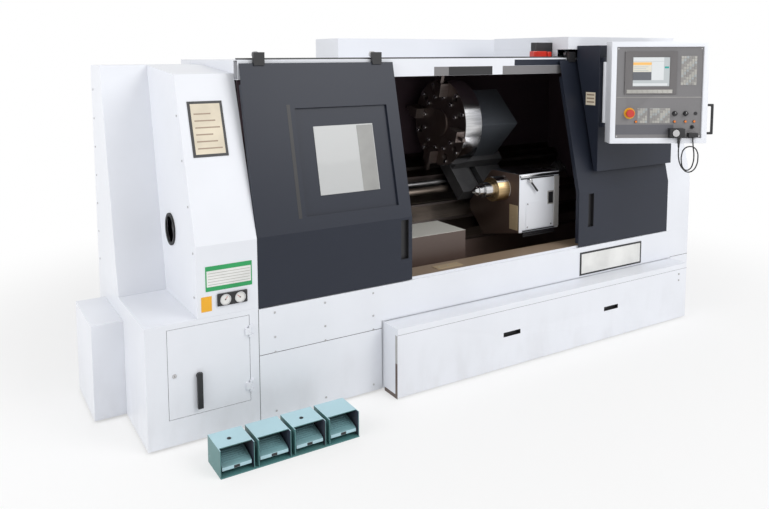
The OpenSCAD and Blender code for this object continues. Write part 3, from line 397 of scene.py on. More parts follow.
# Each finish: its maker, name, colour or the property that holds it, and the maker's other values.
FINISHES = {
    "white": (enamel, "White enamel", "cover_white", 0.36, 0.08, 0.03),
    "navy": (enamel, "Navy enamel", "door_navy", 0.42, 0.0, 0.02, 420.0, 0.30),
    # Near-black of the work zone: painted shade.
    "inside": (enamel, "Work-zone enamel", "inside_dark", 0.45, 0.0, 0.10, 420.0, 0.30),
    "turret": (enamel, "Turret enamel", "turret_grey", 0.40, 0.0, 0.25),
    "teal": (enamel, "Pedal enamel", "pedal_teal", 0.42, 0.15, 0.15),
    # Pale teal: painted highlight on the tops and fronts of the pedals.
    "teal_highlight": (enamel, "Pedal tops", "pedal_pale", 0.42, 0.05, 0.05),
    "treadle": (enamel, "Treadle enamel", (0.20, 0.38, 0.41), 0.42, 0.10, 0.15),
    # Dark blue inside the pedal guards: painted shade.
    "teal_shade": (enamel, "Pedal inside", (0.035, 0.045, 0.070), 0.5, 0.3, 0.2),
    "cream": (enamel, "Cream way guard", (0.78, 0.77, 0.71), 0.42, 0.0, 0.15),
    "panel": (enamel, "Operator panel", "panel_grey", 0.45, 0.0, 0.03, 700.0),
    "iron": (cast_iron, "Cast iron", "iron"),
    "steel": (machined, "Machined steel", "steel"),
    "polished": (machined, "Polished steel", (0.66, 0.66, 0.67), 0.16, 90.0, 0.12),
    "ways": (machined, "Ground ways", (0.23, 0.19, 0.16), 0.30, 80.0, 0.35, (0.05, 0.035, 0.025)),
    "bed": (cast_iron, "Oiled bed", (0.070, 0.052, 0.046), 0.5),
    "sill": (enamel, "Oily sill", "sill_brown", 0.40, 0.0, 0.25),
    # Dark oily brown, used also as painted shade.
    "tray": (enamel, "Oily tray", (0.095, 0.062, 0.050), 0.36, 0.0, 0.20),
    # Gold colour that stands for a reflection of the workshop light: painted reflection.
    "gold_reflection": (machined, "Worn brass", (0.62, 0.45, 0.24), 0.34, 40.0, 0.4, (0.16, 0.08, 0.03)),
    "blackened": (machined, "Blackened steel", (0.26, 0.22, 0.205), 0.42, 60.0, 0.4, (0.14, 0.075, 0.05)),
    # Buff: real on the sill strip, painted light on the tailstock's side plate.
    "buff": (enamel, "Buff enamel", (0.52, 0.40, 0.25), 0.40, 0.0, 0.20),
    "grey": (enamel, "Grey enamel", (0.40, 0.39, 0.38), 0.42, 0.0, 0.10),
    # Black: real black parts, and painted shade in the pull recesses and beside the window.
    "black": (moulded, "Black plastic", (0.018, 0.018, 0.020), 0.42),
    "rubber": (moulded, "Rubber", (0.014, 0.014, 0.014), 0.6, 900.0),
    "panel_low": (enamel, "Panel foot", (0.115, 0.115, 0.130), 0.45, 0.0, 0.03, 700.0),
    "bezel": (enamel, "Display bezel", (0.135, 0.128, 0.130), 0.42, 0.0, 0.03, 700.0),
    "key_pale": (moulded, "Pale keys", (0.44, 0.43, 0.40), 0.5),
    "key_mid": (moulded, "Grey keys", (0.30, 0.29, 0.28), 0.5),
    "key_cool": (moulded, "Cool keys", (0.38, 0.41, 0.42), 0.5),
    "red": (moulded, "Stop red", "stop_red", 0.30, 900.0, 0.5),
    "yellow": (moulded, "Yellow plate", "plate_yellow", 0.40),
    "green": (moulded, "Plate green", "plate_green", 0.40),
    "plate": (moulded, "Plate white", (0.78, 0.78, 0.76), 0.40),
    "paper": (moulded, "Plate cream", (0.74, 0.66, 0.52), 0.55),
    "seam": (moulded, "Seam shadow", (0.11, 0.11, 0.12), 0.7),
    "pane": (clear_pane, "Window pane", (0.54, 0.55, 0.55)),
    # Darker strip on the window pane: painted shade.
    "pane_shade": (moulded, "Pane edge", (0.30, 0.30, 0.29), 0.3),
    "display_dark": (lit, "Display dark", (0.11, 0.115, 0.13), 0.15),
    "display_grey": (lit, "Display grey", (0.42, 0.45, 0.46), 0.20),
    "display_white": (lit, "Display white", (0.60, 0.62, 0.63), 0.20),
    "display_cream": (lit, "Display cream", (0.62, 0.59, 0.50), 0.20),
    "display_orange": (lit, "Display orange", (0.72, 0.40, 0.12), 0.30),
    "display_teal": (lit, "Display teal", (0.03, 0.30, 0.28), 0.20),
    "lamp": (lit, "Orange lamp", (0.60, 0.17, 0.03), 0.25),
}
MATERIALS = {}


def finish(key):
    """A finish of the lathe, made when it is first asked for."""
    if key not in MATERIALS:
        maker, name, base, *more = FINISHES[key]
        if isinstance(base, str):
            base = getattr(finishes(), base)
        MATERIALS[key] = maker(name, base, *more)
    return MATERIALS[key]


# Shapes


def show(name, data):
    """Object with this data, in the scene."""
    obj = bpy.data.objects.new(name, data)
    bpy.context.scene.collection.objects.link(obj)
    return obj


def piece(name, bm, keys, body="machine", slot="white_paint", smooth_angle=SHARP_ANGLE):
    """Turns a bmesh into a piece that rides on a body, the fixed machine where none is named."""
    mesh = bpy.data.meshes.new(name)
    bm.to_mesh(mesh)
    bm.free()
    obj = show(name, mesh)
    for key in keys:
        mesh.materials.append(finish(key))
    mesh.shade_smooth()
    mesh.set_sharp_from_angle(angle=math.radians(smooth_angle))
    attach(obj, body)
    return obj


def round_edges(bm, edges, width, segments=2):
    if edges and width > 0:
        bmesh.ops.bevel(
            bm, geom=edges, offset=width, offset_type="OFFSET", affect="EDGES", segments=segments,
            profile=0.5, material=-1, clamp_overlap=True,
        )


def settle(bm, verts, place, material):
    """Moves new vertices to their place, paints their faces and gives these."""
    bmesh.ops.transform(bm, matrix=place, verts=verts)
    faces = {f for v in verts for f in v.link_faces}
    for face in faces:
        face.material_index = material
    return faces


def add_block(bm, place, low, high, material=0, edge=0.0):
    """Box between two corners of a face's own frame; y runs into the face."""
    low, high = Vector(low), Vector(high)
    made = bmesh.ops.create_cube(bm, size=1.0)
    size = Matrix.Diagonal((*(high - low), 1.0))
    faces = settle(bm, made["verts"], place @ Matrix.Translation((low + high) / 2) @ size, material)
    round_edges(bm, list({e for f in faces for e in f.edges}), edge)


def add_blocks(bm, place, *rows):
    """Boxes on one face, each with its low corner, high corner, finish and edge."""
    for row in rows:
        add_block(bm, place, *row)


def block_piece(name, keys, place, *rows, **ride):
    """Piece made of boxes on one face."""
    bm = bmesh.new()
    add_blocks(bm, place, *rows)
    piece(name, bm, keys, **ride)


def add_disc(bm, place, centre, radius, depth, material=0, edge=0.0, segments=24):
    """Round boss that stands out of a face: centre is on the face, depth goes out of it."""
    made = bmesh.ops.create_cone(
        bm, cap_ends=True, segments=segments, radius1=radius, radius2=radius, depth=depth
    )
    middle = place @ Matrix.Translation(Vector(centre) + Vector((0, -depth / 2, 0)))
    faces = settle(bm, made["verts"], middle @ STAND, material)
    if edge:
        rims = [e for e in {e for f in faces for e in f.edges}
                if e.is_manifold and e.calc_face_angle(0.0) > math.radians(40)]
        round_edges(bm, rims, edge)


def add_ring(bm, place, centre, inner, outer, depth, material=0, segments=48):
    """Flat ring that stands out of a face."""
    centre, before = Vector(centre), set(bm.verts)
    section = [(inner, 0.0), (outer, 0.0), (outer, -depth), (inner, -depth)]
    verts = [bm.verts.new(centre + Vector((r, y, 0.0))) for r, y in section]
    edges = [bm.edges.new((verts[i], verts[(i + 1) % 4])) for i in range(4)]
    bmesh.ops.spin(
        bm, geom=verts + edges, cent=centre, axis=(0, 1, 0), angle=math.tau, steps=segments, use_merge=True
    )
    faces = settle(bm, [v for v in bm.verts if v not in before], place, material)
    bmesh.ops.recalc_face_normals(bm, faces=list(faces))


def body_of_node(node):
    for body, nodes in frame["record"]["behaviour"]["bodies"].items():
        if node in nodes:
            return body
    raise RuntimeError(f"{node} is in no body")


def slot_of_node(node):
    return next(s["material_slot"] for s in frame["record"]["subparts"] if s["node"] == node)


def soften(node, keys, width, rule=None, segments=2, smooth_angle=SHARP_ANGLE):
    """Copies a solid, rounds its edges, paints its faces by rule and shows it in the solid's place."""
    bm = bmesh.new()
    bm.from_mesh(frame["nodes"][node].data)
    bmesh.ops.remove_doubles(bm, verts=bm.verts, dist=1e-6)
    bmesh.ops.dissolve_limit(bm, angle_limit=math.radians(1.0), verts=bm.verts, edges=bm.edges)
    sharp = [e for e in bm.edges if e.is_manifold and e.calc_face_angle(0.0) > math.radians(28)]
    round_edges(bm, sharp, width, segments)
    bm.normal_update()
    for face in bm.faces:
        face.material_index = rule(face.calc_center_median() - CORNER, face.normal) if rule else 0
    obj = piece(f"{node}_finished", bm, keys, body_of_node(node), slot_of_node(node), smooth_angle)
    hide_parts(node)
    return obj


# Operators


class LATHE_OT_covers(bpy.types.Operator):
    """Sheet-metal covers, tank and access door in white enamel"""

    bl_idname = "lathe.covers"
    bl_label = "Covers"

    WHITE = ("base_cabinet", "side_box", "rear_column", "headstock_cover", "front_apron", "top_housing",
             "rear_cabinet", "access_door")

    def execute(self, context):
        edge = sizes().sheet_edge
        for node in self.WHITE:
            soften(node, ["white"], edge, smooth_angle=SHEET_ANGLE)
        rail = highest("door_header").z - 0.009
        wall = lowest("right_end_cover").x + 0.003
        # Faces of the back wall, the roof's underside, the right end's inner wall and the header's back and
        # underside, all turned to the work zone, get the near-black finish: painted shade.
        soften("back_wall", ["white", "inside"], edge, lambda c, n: int(n.y < -0.5 or n.x > 0.5))
        soften("roof_panel", ["white", "inside"], edge, lambda c, n: int(n.z < -0.5))
        soften("right_end_cover", ["white", "inside"], edge,
               lambda c, n: int(n.x < -0.5 and c.x < wall and c.y > 0.2))
        soften("door_header", ["white", "black", "inside"], edge,
               lambda c, n: 1 if c.z > rail else (2 if n.y > 0.5 or n.z < -0.5 else 0))
        front = lowest("coolant_tank").y
        # The walls of the tank's pull recess are painted black: painted shade in the recess.
        soften("coolant_tank", ["white", "black"], edge,
               lambda c, n: int(front + 0.001 < c.y < front + 0.027 and n.y < 0.3 and 0.19 < c.z < 0.24))
        soften("access_handle", ["black"], sizes().casting_edge)
        soften("levelling_feet", ["iron"], edge)
        return {"FINISHED"}


class LATHE_OT_doors(bpy.types.Operator):
    """Sliding doors with their hangers, the window pane and the control housing"""

    bl_idname = "lathe.doors"
    bl_label = "Doors"

    def execute(self, context):
        edge = sizes().sheet_edge
        top = DOOR_TOP.z + 0.004
        roller_y = lowest("door_header").y + 0.015

        def tone(c, n):
            if c.z > top:
                return 1 if c.y > roller_y else 2
            # Faces of the pull recess below the bend are painted black: painted shade in the recess.
            return 2 if c.z < DOOR_BEND.z - 0.01 and 0.003 < c.y < 0.06 and n.y < 0.3 else 0

        for node in ("left_door", "right_door"):
            soften(node, ["navy", "steel", "black"], edge, tone, smooth_angle=SHEET_ANGLE)
        soften("control_housing", ["navy"], edge, smooth_angle=SHEET_ANGLE)
        soften("left_window", ["pane"], sizes().fine_edge)
        self.window_trim()
        return {"FINISHED"}

    def window_trim(self):
        """Black strip of painted shade at the left edge of the window's recess, and a darker strip of
        painted shade at the pane's right edge.
        """
        bm = bmesh.new()
        # Black strip: painted shade at the recess's left edge.
        add_block(bm, DOOR_SLOPE, (0.812, -0.0006, 0.069), (0.832, 0, 0.675), 0)
        low, high = limits("left_window")
        rise = (DOOR_TOP - DOOR_BEND).normalized().z
        foot, top = ((z - DOOR_BEND.z) / rise for z in (low.z, high.z))
        glass = (DOOR_SLOPE.inverted() @ (CORNER + low)).y
        # Darker strip on the glass: painted shade.
        add_block(bm, DOOR_SLOPE, (high.x - 0.105, glass - 0.0012, foot + 0.004),
                  (high.x - 0.004, glass - 0.0002, top - 0.004), 1)
        piece("window_trim", bm, ["black", "pane_shade"], "left_door", "navy_paint")


class LATHE_OT_work_zone(bpy.types.Operator):
    """Guards, chip tray, bed and headstock"""

    bl_idname = "lathe.work_zone"
    bl_label = "Work zone"

    # Depth of the way faces below the spindle line, square to the slant.
    WAY_DEPTH = 0.4405

    def execute(self, context):
        edge = sizes().sheet_edge
        guard_top = highest("chip_tray").z - 0.004
        # The guards are near-black all over: painted shade of the work zone.
        soften("left_guard", ["inside"], edge)
        soften("right_guard", ["inside"], edge)

        # Faces below the sill and faces that don't face up, the way guard's front too, get the dark brown:
        # partly oil, partly painted shade. Only the sill's top keeps the lighter brown.
        def tray_tone(c, n):
            if c.z > guard_top:
                return 2
            return int(c.z < SILL - 0.004 or n.z < 0.5)

        soften("chip_tray", ["sill", "tray", "cream"], edge, tray_tone)

        def on_ways(c, n):
            square = (c.z - AXIS.z - (c.y - AXIS.y)) / math.sqrt(2)
            return int(square > -self.WAY_DEPTH and abs(n.z + n.y) < 0.01)

        soften("bed_casting", ["bed", "ways"], sizes().casting_edge, on_ways)
        soften("headstock", ["iron"], sizes().casting_edge)
        self.sill_strip()
        return {"FINISHED"}

    def sill_strip(self):
        """Buff wiper strip on the sill, held by screws."""
        top = SILL + 0.003
        bm = bmesh.new()
        add_block(bm, FRONT, (1.76, 0.090, SILL), (1.95, 0.160, top), 0, 0.0008)
        for x in (1.79, 1.855, 1.92):
            add_disc(bm, upright(x, 0.125, top), (0, 0, 0), 0.005, 0.0015, 1, 0.0005, 12)
        piece("sill_strip", bm, ["buff", "steel"], "machine", "bright_steel")


class LATHE_OT_spindle_line(bpy.types.Operator):
    """Spindle, chuck, drive, feed screws and tailstock"""

    bl_idname = "lathe.spindle_line"
    bl_label = "Spindle line"

    JOURNAL_ROOM = 0.0008

    def execute(self, context):
        fine = sizes().fine_edge
        for node in ("spindle", "spindle_bearings", "x_screw"):
            soften(node, ["steel"], fine)
        self.free_journals(soften("z_screw", ["steel"], fine))
        for node in ("spindle_pulley", "motor_pulley", "drive_motor", "z_drive"):
            soften(node, ["iron"], fine)
        soften("drive_belts", ["rubber"], 0.0)
        soften("chuck", ["polished"], fine)
        for node in ("jaw_1", "jaw_2", "jaw_3"):
            soften(node, ["steel"], fine)
        self.tailstock()
        soften("quill", ["polished"], fine)
        soften("live_centre", ["polished"], fine)
        return {"FINISHED"}

    def free_journals(self, screw):
        """Leaves room round the Z screw, so that its facets clear the bearing blocks as it turns."""
        line = Vector(JOINTS["z_screw_spin"]["pos_m"])
        for vertex in screw.data.vertices:
            out = vertex.co - line
            out.x = 0.0
            if out.length > self.JOURNAL_ROOM:
                vertex.co -= out.normalized() * self.JOURNAL_ROOM

    def tailstock(self):
        """White front, chrome top, a brass-coloured left end that is a painted reflection of gold light, and
        dark brown sides that are partly painted shade, with the panel, clamp lever, ribs of the front and a
        buff plate of painted light on the left side.
        """
        low, high = limits("tailstock")
        left, right = low.x + 0.100, high.x
        axis, top = AXIS.z, high.z
        foot = axis - 0.286

        # Top faces are chrome, the right end grey, the left end brass-coloured as painted reflection, the
        # front white, and the other faces dark brown, partly painted shade.
        def tone(c, n):
            if n.z > 0.6:
                return 1
            if n.x > 0.5:
                return 4
            if c.x < left - 0.002:
                return 3
            return 0 if n.y < -0.6 else 2

        soften("tailstock", ["white", "polished", "tray", "gold_reflection", "grey"], sizes().casting_edge, tone, 3)
        face = set_in(FRONT, low.y)
        bm = bmesh.new()
        add_blocks(
            bm, face,
            ((left + 0.060, -0.003, foot + 0.020), (right - 0.060, 0, axis - 0.080), 0, 0.001),
            ((right - 0.046, -0.008, foot + 0.012), (right - 0.002, 0, top - 0.034), 1, 0.003),
            ((left + 0.004, -0.010, top - 0.024), (right - 0.004, 0, top - 0.006), 2, 0.003),
            ((left + 0.010, -0.003, top - 0.036), (right - 0.050, 0, top - 0.028), 3),
            ((right - 0.105, -0.004, axis - 0.114), (right - 0.050, 0, axis - 0.020), 1, 0.001),
            ((right - 0.098, -0.006, axis - 0.106), (right - 0.057, 0, axis - 0.028), 3, 0.001),
        )
        for k in range(4):
            z = foot - 0.028 + k * 0.012
            add_block(bm, face, (left + 0.030, -0.009, z), (right - 0.040, 0, z + 0.006), 3)
        pivot = Matrix.Translation((left + 0.108, 0, axis + 0.038))
        lever = face @ pivot @ Matrix.Rotation(math.radians(-41), 4, "Y")
        add_block(bm, lever, (-0.006, -0.022, -0.062), (0.006, -0.012, 0.050), 3, 0.003)
        add_disc(bm, lever, (0, 0, 0.042), 0.014, 0.026, 2, 0.002)
        for x in (left + 0.072, right - 0.072):
            for z in (foot + 0.034, axis - 0.094):
                add_disc(bm, face, (x, -0.003, z), 0.006, 0.003, 2, 0.0008, 12)
        side = plane(corner_point(left, low.y, 0), (0, -1, 0))
        # Buff plate on the left side: a lit copy of the brass, painted light.
        add_block(bm, side, (-0.095, -0.004, foot + 0.015), (-0.012, 0, axis - 0.10), 4, 0.002)
        piece("tailstock_fittings", bm, ["white", "grey", "polished", "black", "buff"], "tailstock",
              "white_paint")


class LATHE_OT_turret(bpy.types.Operator):
    """Saddle, cross slide and tool turret"""

    bl_idname = "lathe.turret"
    bl_label = "Turret"

    def execute(self, context):
        edge = sizes().casting_edge
        soften("saddle", ["iron"], edge)
        soften("cross_slide", ["iron"], edge)
        soften("turret_body", ["turret"], edge, None, 3)
        hub = Vector(JOINTS["turret_index"]["pos_m"]) - CORNER
        outer = (highest("turret_disc").z - lowest("turret_disc").z) / 2 - 0.006

        def disc_tone(c, n):
            return int(math.hypot(c.y - hub.y, c.z - hub.z) > outer)

        soften("turret_disc", ["blackened", "polished"], sizes().fine_edge * 2, disc_tone)
        soften("tool_holders", ["blackened"], sizes().fine_edge)
        self.clamp_screws(hub)
        return {"FINISHED"}

    def clamp_screws(self, hub):
        """Bright clamp screws round the face of the disc, two between each pair of stations."""
        stations = 12
        face_x = lowest("turret_disc").x + 0.012
        bm = bmesh.new()
        for i in range(stations):
            turn = Matrix.Rotation(math.tau * (i + 0.5) / stations, 4, "X")
            spot = Matrix.Translation(corner_point(face_x, hub.y, hub.z)) @ turn
            place = spot @ plane((0, 0, 0), (0, -1, 0))
            for radius in (0.190, 0.282):
                add_disc(bm, place, (0, 0, radius), 0.017, 0.010, 0, 0.002, 20)
                add_disc(bm, place, (0, -0.010, radius), 0.008, 0.0006, 1, 0.0, 6)
        piece("turret_screws", bm, ["polished", "black"], "turret", "bright_steel")


class LATHE_OT_pendant(bpy.types.Operator):
    """Operator pendant: frame, panel, display, keys, knobs, lamps and hand unit"""

    bl_idname = "lathe.pendant"
    bl_label = "Pendant"

    def execute(self, context):
        fine, pitch = sizes().fine_edge, 0.0165
        panel_turn = PANEL.inverted()

        def on_panel(c, n):
            local = panel_turn @ (c + CORNER)
            inside = 0.0 < local.x < 0.560 and 0.0 < local.z < 0.590
            return int(inside and abs(local.y) < 0.002 and n.dot(INWARD) < -0.9)

        soften("pendant", ["white", "panel"], 0.004, on_panel, 3)
        soften("pendant_handle", ["black"], 0.006, None, 3)
        soften("screen", ["bezel"], fine)

        def key_tone(c, n):
            local = panel_turn @ (c + CORNER)
            if local.z > 0.28 and local.x < 0.40:
                return 0
            column, row = int(local.x / pitch), int(local.z / pitch)
            return (0, 1, 0, 2, 1)[(column * 3 + row * 2) % 5]

        soften("keypad", ["key_pale", "key_mid", "key_cool"], 0.0005, key_tone, 1)
        soften("emergency_stop", ["red"], 0.004, None, 3)
        soften("hand_unit", ["black"], 0.003, None, 3)
        soften("hand_wheel", ["polished"], fine)
        self.display()
        self.fittings()
        self.knob("feed_knob")
        self.knob("speed_knob")
        return {"FINISHED"}

    def display(self):
        """Fields of the display, which lie on the glass behind the bezel."""
        bm = bmesh.new()
        glass = -0.003
        fields = (
            ((0.107, 0.343), (0.337, 0.523), "display_grey", 0.0006),
            ((0.107, 0.305), (0.497, 0.523), "display_white", 0.0010),
            ((0.107, 0.225), (0.430, 0.495), "display_cream", 0.0010),
            ((0.107, 0.225), (0.474, 0.490), "display_orange", 0.0012),
            ((0.227, 0.305), (0.376, 0.495), "display_white", 0.0010),
            ((0.107, 0.225), (0.376, 0.428), "display_dark", 0.0010),
            ((0.107, 0.330), (0.340, 0.356), "display_white", 0.0010),
            ((0.310, 0.338), (0.452, 0.464), "display_teal", 0.0010),
        )
        keys = sorted({key for _, _, key, _ in fields})
        for (x0, x1), (z0, z1), key, t in fields:
            add_block(bm, PANEL, (x0, glass - t, z0), (x1, glass, z1), keys.index(key))
        for i in range(3):
            z = 0.436 + i * 0.012
            add_block(bm, PANEL, (0.112, glass - 0.0014, z), (0.205 - 0.015 * (i % 2), glass, z + 0.004),
                      keys.index("display_grey"))
        piece("display", bm, keys, "pendant", "black_plastic")

    def fittings(self):
        """Yellow ring under the stop, lamps, joystick and panel screws."""
        bm = bmesh.new()
        add_ring(bm, PANEL, (0.092, 0.0, 0.162), 0.0165, 0.036, 0.002, 0)
        for x in (0.135, 0.385, 0.455, 0.512):
            add_disc(bm, PANEL, (x, 0.0, 0.108), 0.009, 0.003, 2)
            add_disc(bm, PANEL, (x, -0.003, 0.108), 0.0075, 0.006, 1, 0.002)
        add_disc(bm, PANEL, (0.520, 0.0, 0.160), 0.011, 0.004, 2)
        add_disc(bm, PANEL, (0.500, 0.0, 0.072), 0.013, 0.004, 2)
        add_disc(bm, PANEL, (0.500, -0.004, 0.072), 0.006, 0.024, 2, 0.002)
        for x in (0.012, 0.548):
            for z in (0.012, 0.578):
                add_disc(bm, PANEL, (x, 0.0, z), 0.005, 0.0015, 3, 0.0005, 16)
        add_block(bm, PANEL, (0.004, -0.0010, 0.262), (0.556, 0.0, 0.268), 5)
        add_block(bm, PANEL, (0.004, -0.0008, 0.024), (0.380, 0.0, 0.088), 4)
        piece("panel_fittings", bm, ["yellow", "lamp", "black", "steel", "panel_low", "key_mid"], "pendant",
              "black_plastic")

    def knob(self, node):
        """Override knob with a ribbed grip and a white pointer."""
        joint = JOINTS[f"{node}_turn"]
        place = Matrix.Translation(Vector(joint["pos_m"])) @ PANEL.to_3x3().to_4x4()
        bm = bmesh.new()
        add_disc(bm, place, (0, 0, 0), 0.017, 0.006, 0, 0.0012, 32)
        made = bmesh.ops.create_cone(
            bm, cap_ends=True, segments=40, radius1=0.0145, radius2=0.0125, depth=0.014
        )
        verts = made["verts"]
        for i, vert in enumerate(sorted(verts, key=lambda v: (math.atan2(v.co.y, v.co.x), v.co.z))):
            if (i // 2) % 2:
                vert.co.x *= 0.94
                vert.co.y *= 0.94
        settle(bm, verts, set_in(place, -0.013) @ STAND, 0)
        add_block(bm, place, (-0.001, -0.0202, 0.001), (0.001, -0.0196, 0.0115), 1)
        obj = piece(f"{node}_finished", bm, ["black", "plate"], node, "black_plastic")
        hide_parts(node)


class LATHE_OT_hand_cord(bpy.types.Operator):
    """Cord of the hand unit"""

    bl_idname = "lathe.hand_cord"
    bl_label = "Hand unit cord"

    # Route on the panel: across, out of it and up, in millimetres
    ROUTE = (
        (410, 22, -60), (410, 22, -90), (412, 23, -125), (420, 28, -165), (440, 33, -200), (468, 37, -218),
        (500, 39, -208), (522, 40, -175), (530, 40, -130), (524, 40, -85), (503, 39, -58), (472, 37, -52),
        (442, 34, -68), (428, 32, -105), (428, 30, -150), (440, 27, -190), (464, 24, -208), (490, 22, -198),
        (508, 20, -160), (512, 20, -110), (506, 20, -60), (502, 20, -20), (500, 20, 8),
    )
    DIAMETER = 0.008
    LENGTH = 0.85

    def execute(self, context):
        points = [PANEL @ Vector((x / 1000, -y / 1000, z / 1000)) for x, y, z in self.ROUTE]
        curve = bpy.data.curves.new("hand_cord_finished", "CURVE")
        curve.dimensions = "3D"
        curve.bevel_depth = self.DIAMETER / 2
        curve.bevel_resolution = 4
        curve.resolution_u = 8
        curve.use_fill_caps = True
        spline = curve.splines.new("BEZIER")
        spline.bezier_points.add(len(points) - 1)
        for point, place in zip(spline.bezier_points, points):
            point.co = place
            point.handle_left_type = point.handle_right_type = "AUTO"
        obj = show("hand_cord_finished", curve)
        curve.materials.append(finish("rubber"))
        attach(obj, "pendant")
        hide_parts("hand_cord")
        return {"FINISHED"}


class LATHE_OT_pedals(bpy.types.Operator):
    """Foot pedals in teal enamel with ribbed treads"""

    bl_idname = "lathe.pedals"
    bl_label = "Pedals"

    def execute(self, context):
        low, high = limits("pedal_guards")
        pitch = lowest("pedal_2").x - lowest("pedal_1").x

        def guard_side(c, n):
            across = (c.x - low.x) % pitch
            width = high.x - low.x - 3 * pitch
            within = 0.0035 < across < width - 0.0035 and c.y < high.y - 0.0035
            # Inner faces of the guards get the dark finish: painted shade.
            if within and 0.006 < c.z < high.z - 0.003:
                return 1
            # Tops of the guards get the pale finish: painted highlight.
            return 2 if n.z > 0.5 and c.z > high.z - 0.003 else 0

        soften("pedal_guards", ["teal", "teal_shade", "teal_highlight"], 0.001, guard_side)
        for i in range(4):
            # Front faces of the treadles get the pale finish: painted highlight.
            soften(f"pedal_{i + 1}", ["treadle", "teal_highlight"], 0.0025, lambda c, n: int(n.y < -0.5), 3)
            self.tread(i + 1)
        self.bolts(low, high, pitch)
        return {"FINISHED"}

    def tread(self, number):
        """Ribs across the treadle's slope, in the treadle's enamel."""
        low, high = limits(f"pedal_{number}")
        front = Vector((0, low.y + 0.016, 0.052))
        rise = Vector((0, 0.088, 0.022))
        bm = bmesh.new()
        slope = plane(CORNER + front, (1, 0, 0), rise)
        for k in range(6):
            z = 0.008 + k * 0.0135
            rib = (low.x + 0.024, -0.0025, z), (high.x - 0.024, 0.001, z + 0.006)
            add_block(bm, slope, *rib, 0, 0.0008)
        notch = Matrix.Translation(corner_point((low.x + high.x) / 2, low.y, 0))
        add_block(bm, notch, (-0.014, -0.0005, 0.029), (0.014, 0.004, 0.042), 1)
        piece(f"pedal_{number}_tread", bm, ["treadle", "black"], f"pedal_{number}", "rubber")

    def bolts(self, low, high, pitch):
        """Fixing screws on the tops of the guards."""
        bm = bmesh.new()
        for i in (0, 2):
            place = upright(low.x + i * pitch + 0.075, high.y - 0.085, high.z)
            add_disc(bm, place, (0, 0, 0), 0.010, 0.003, 0, 0.0008, 20)
            add_disc(bm, place, (0, -0.003, 0), 0.005, 0.003, 0, 0.0008, 6)
        piece("pedal_guard_screws", bm, ["black"], "machine", "bright_steel")


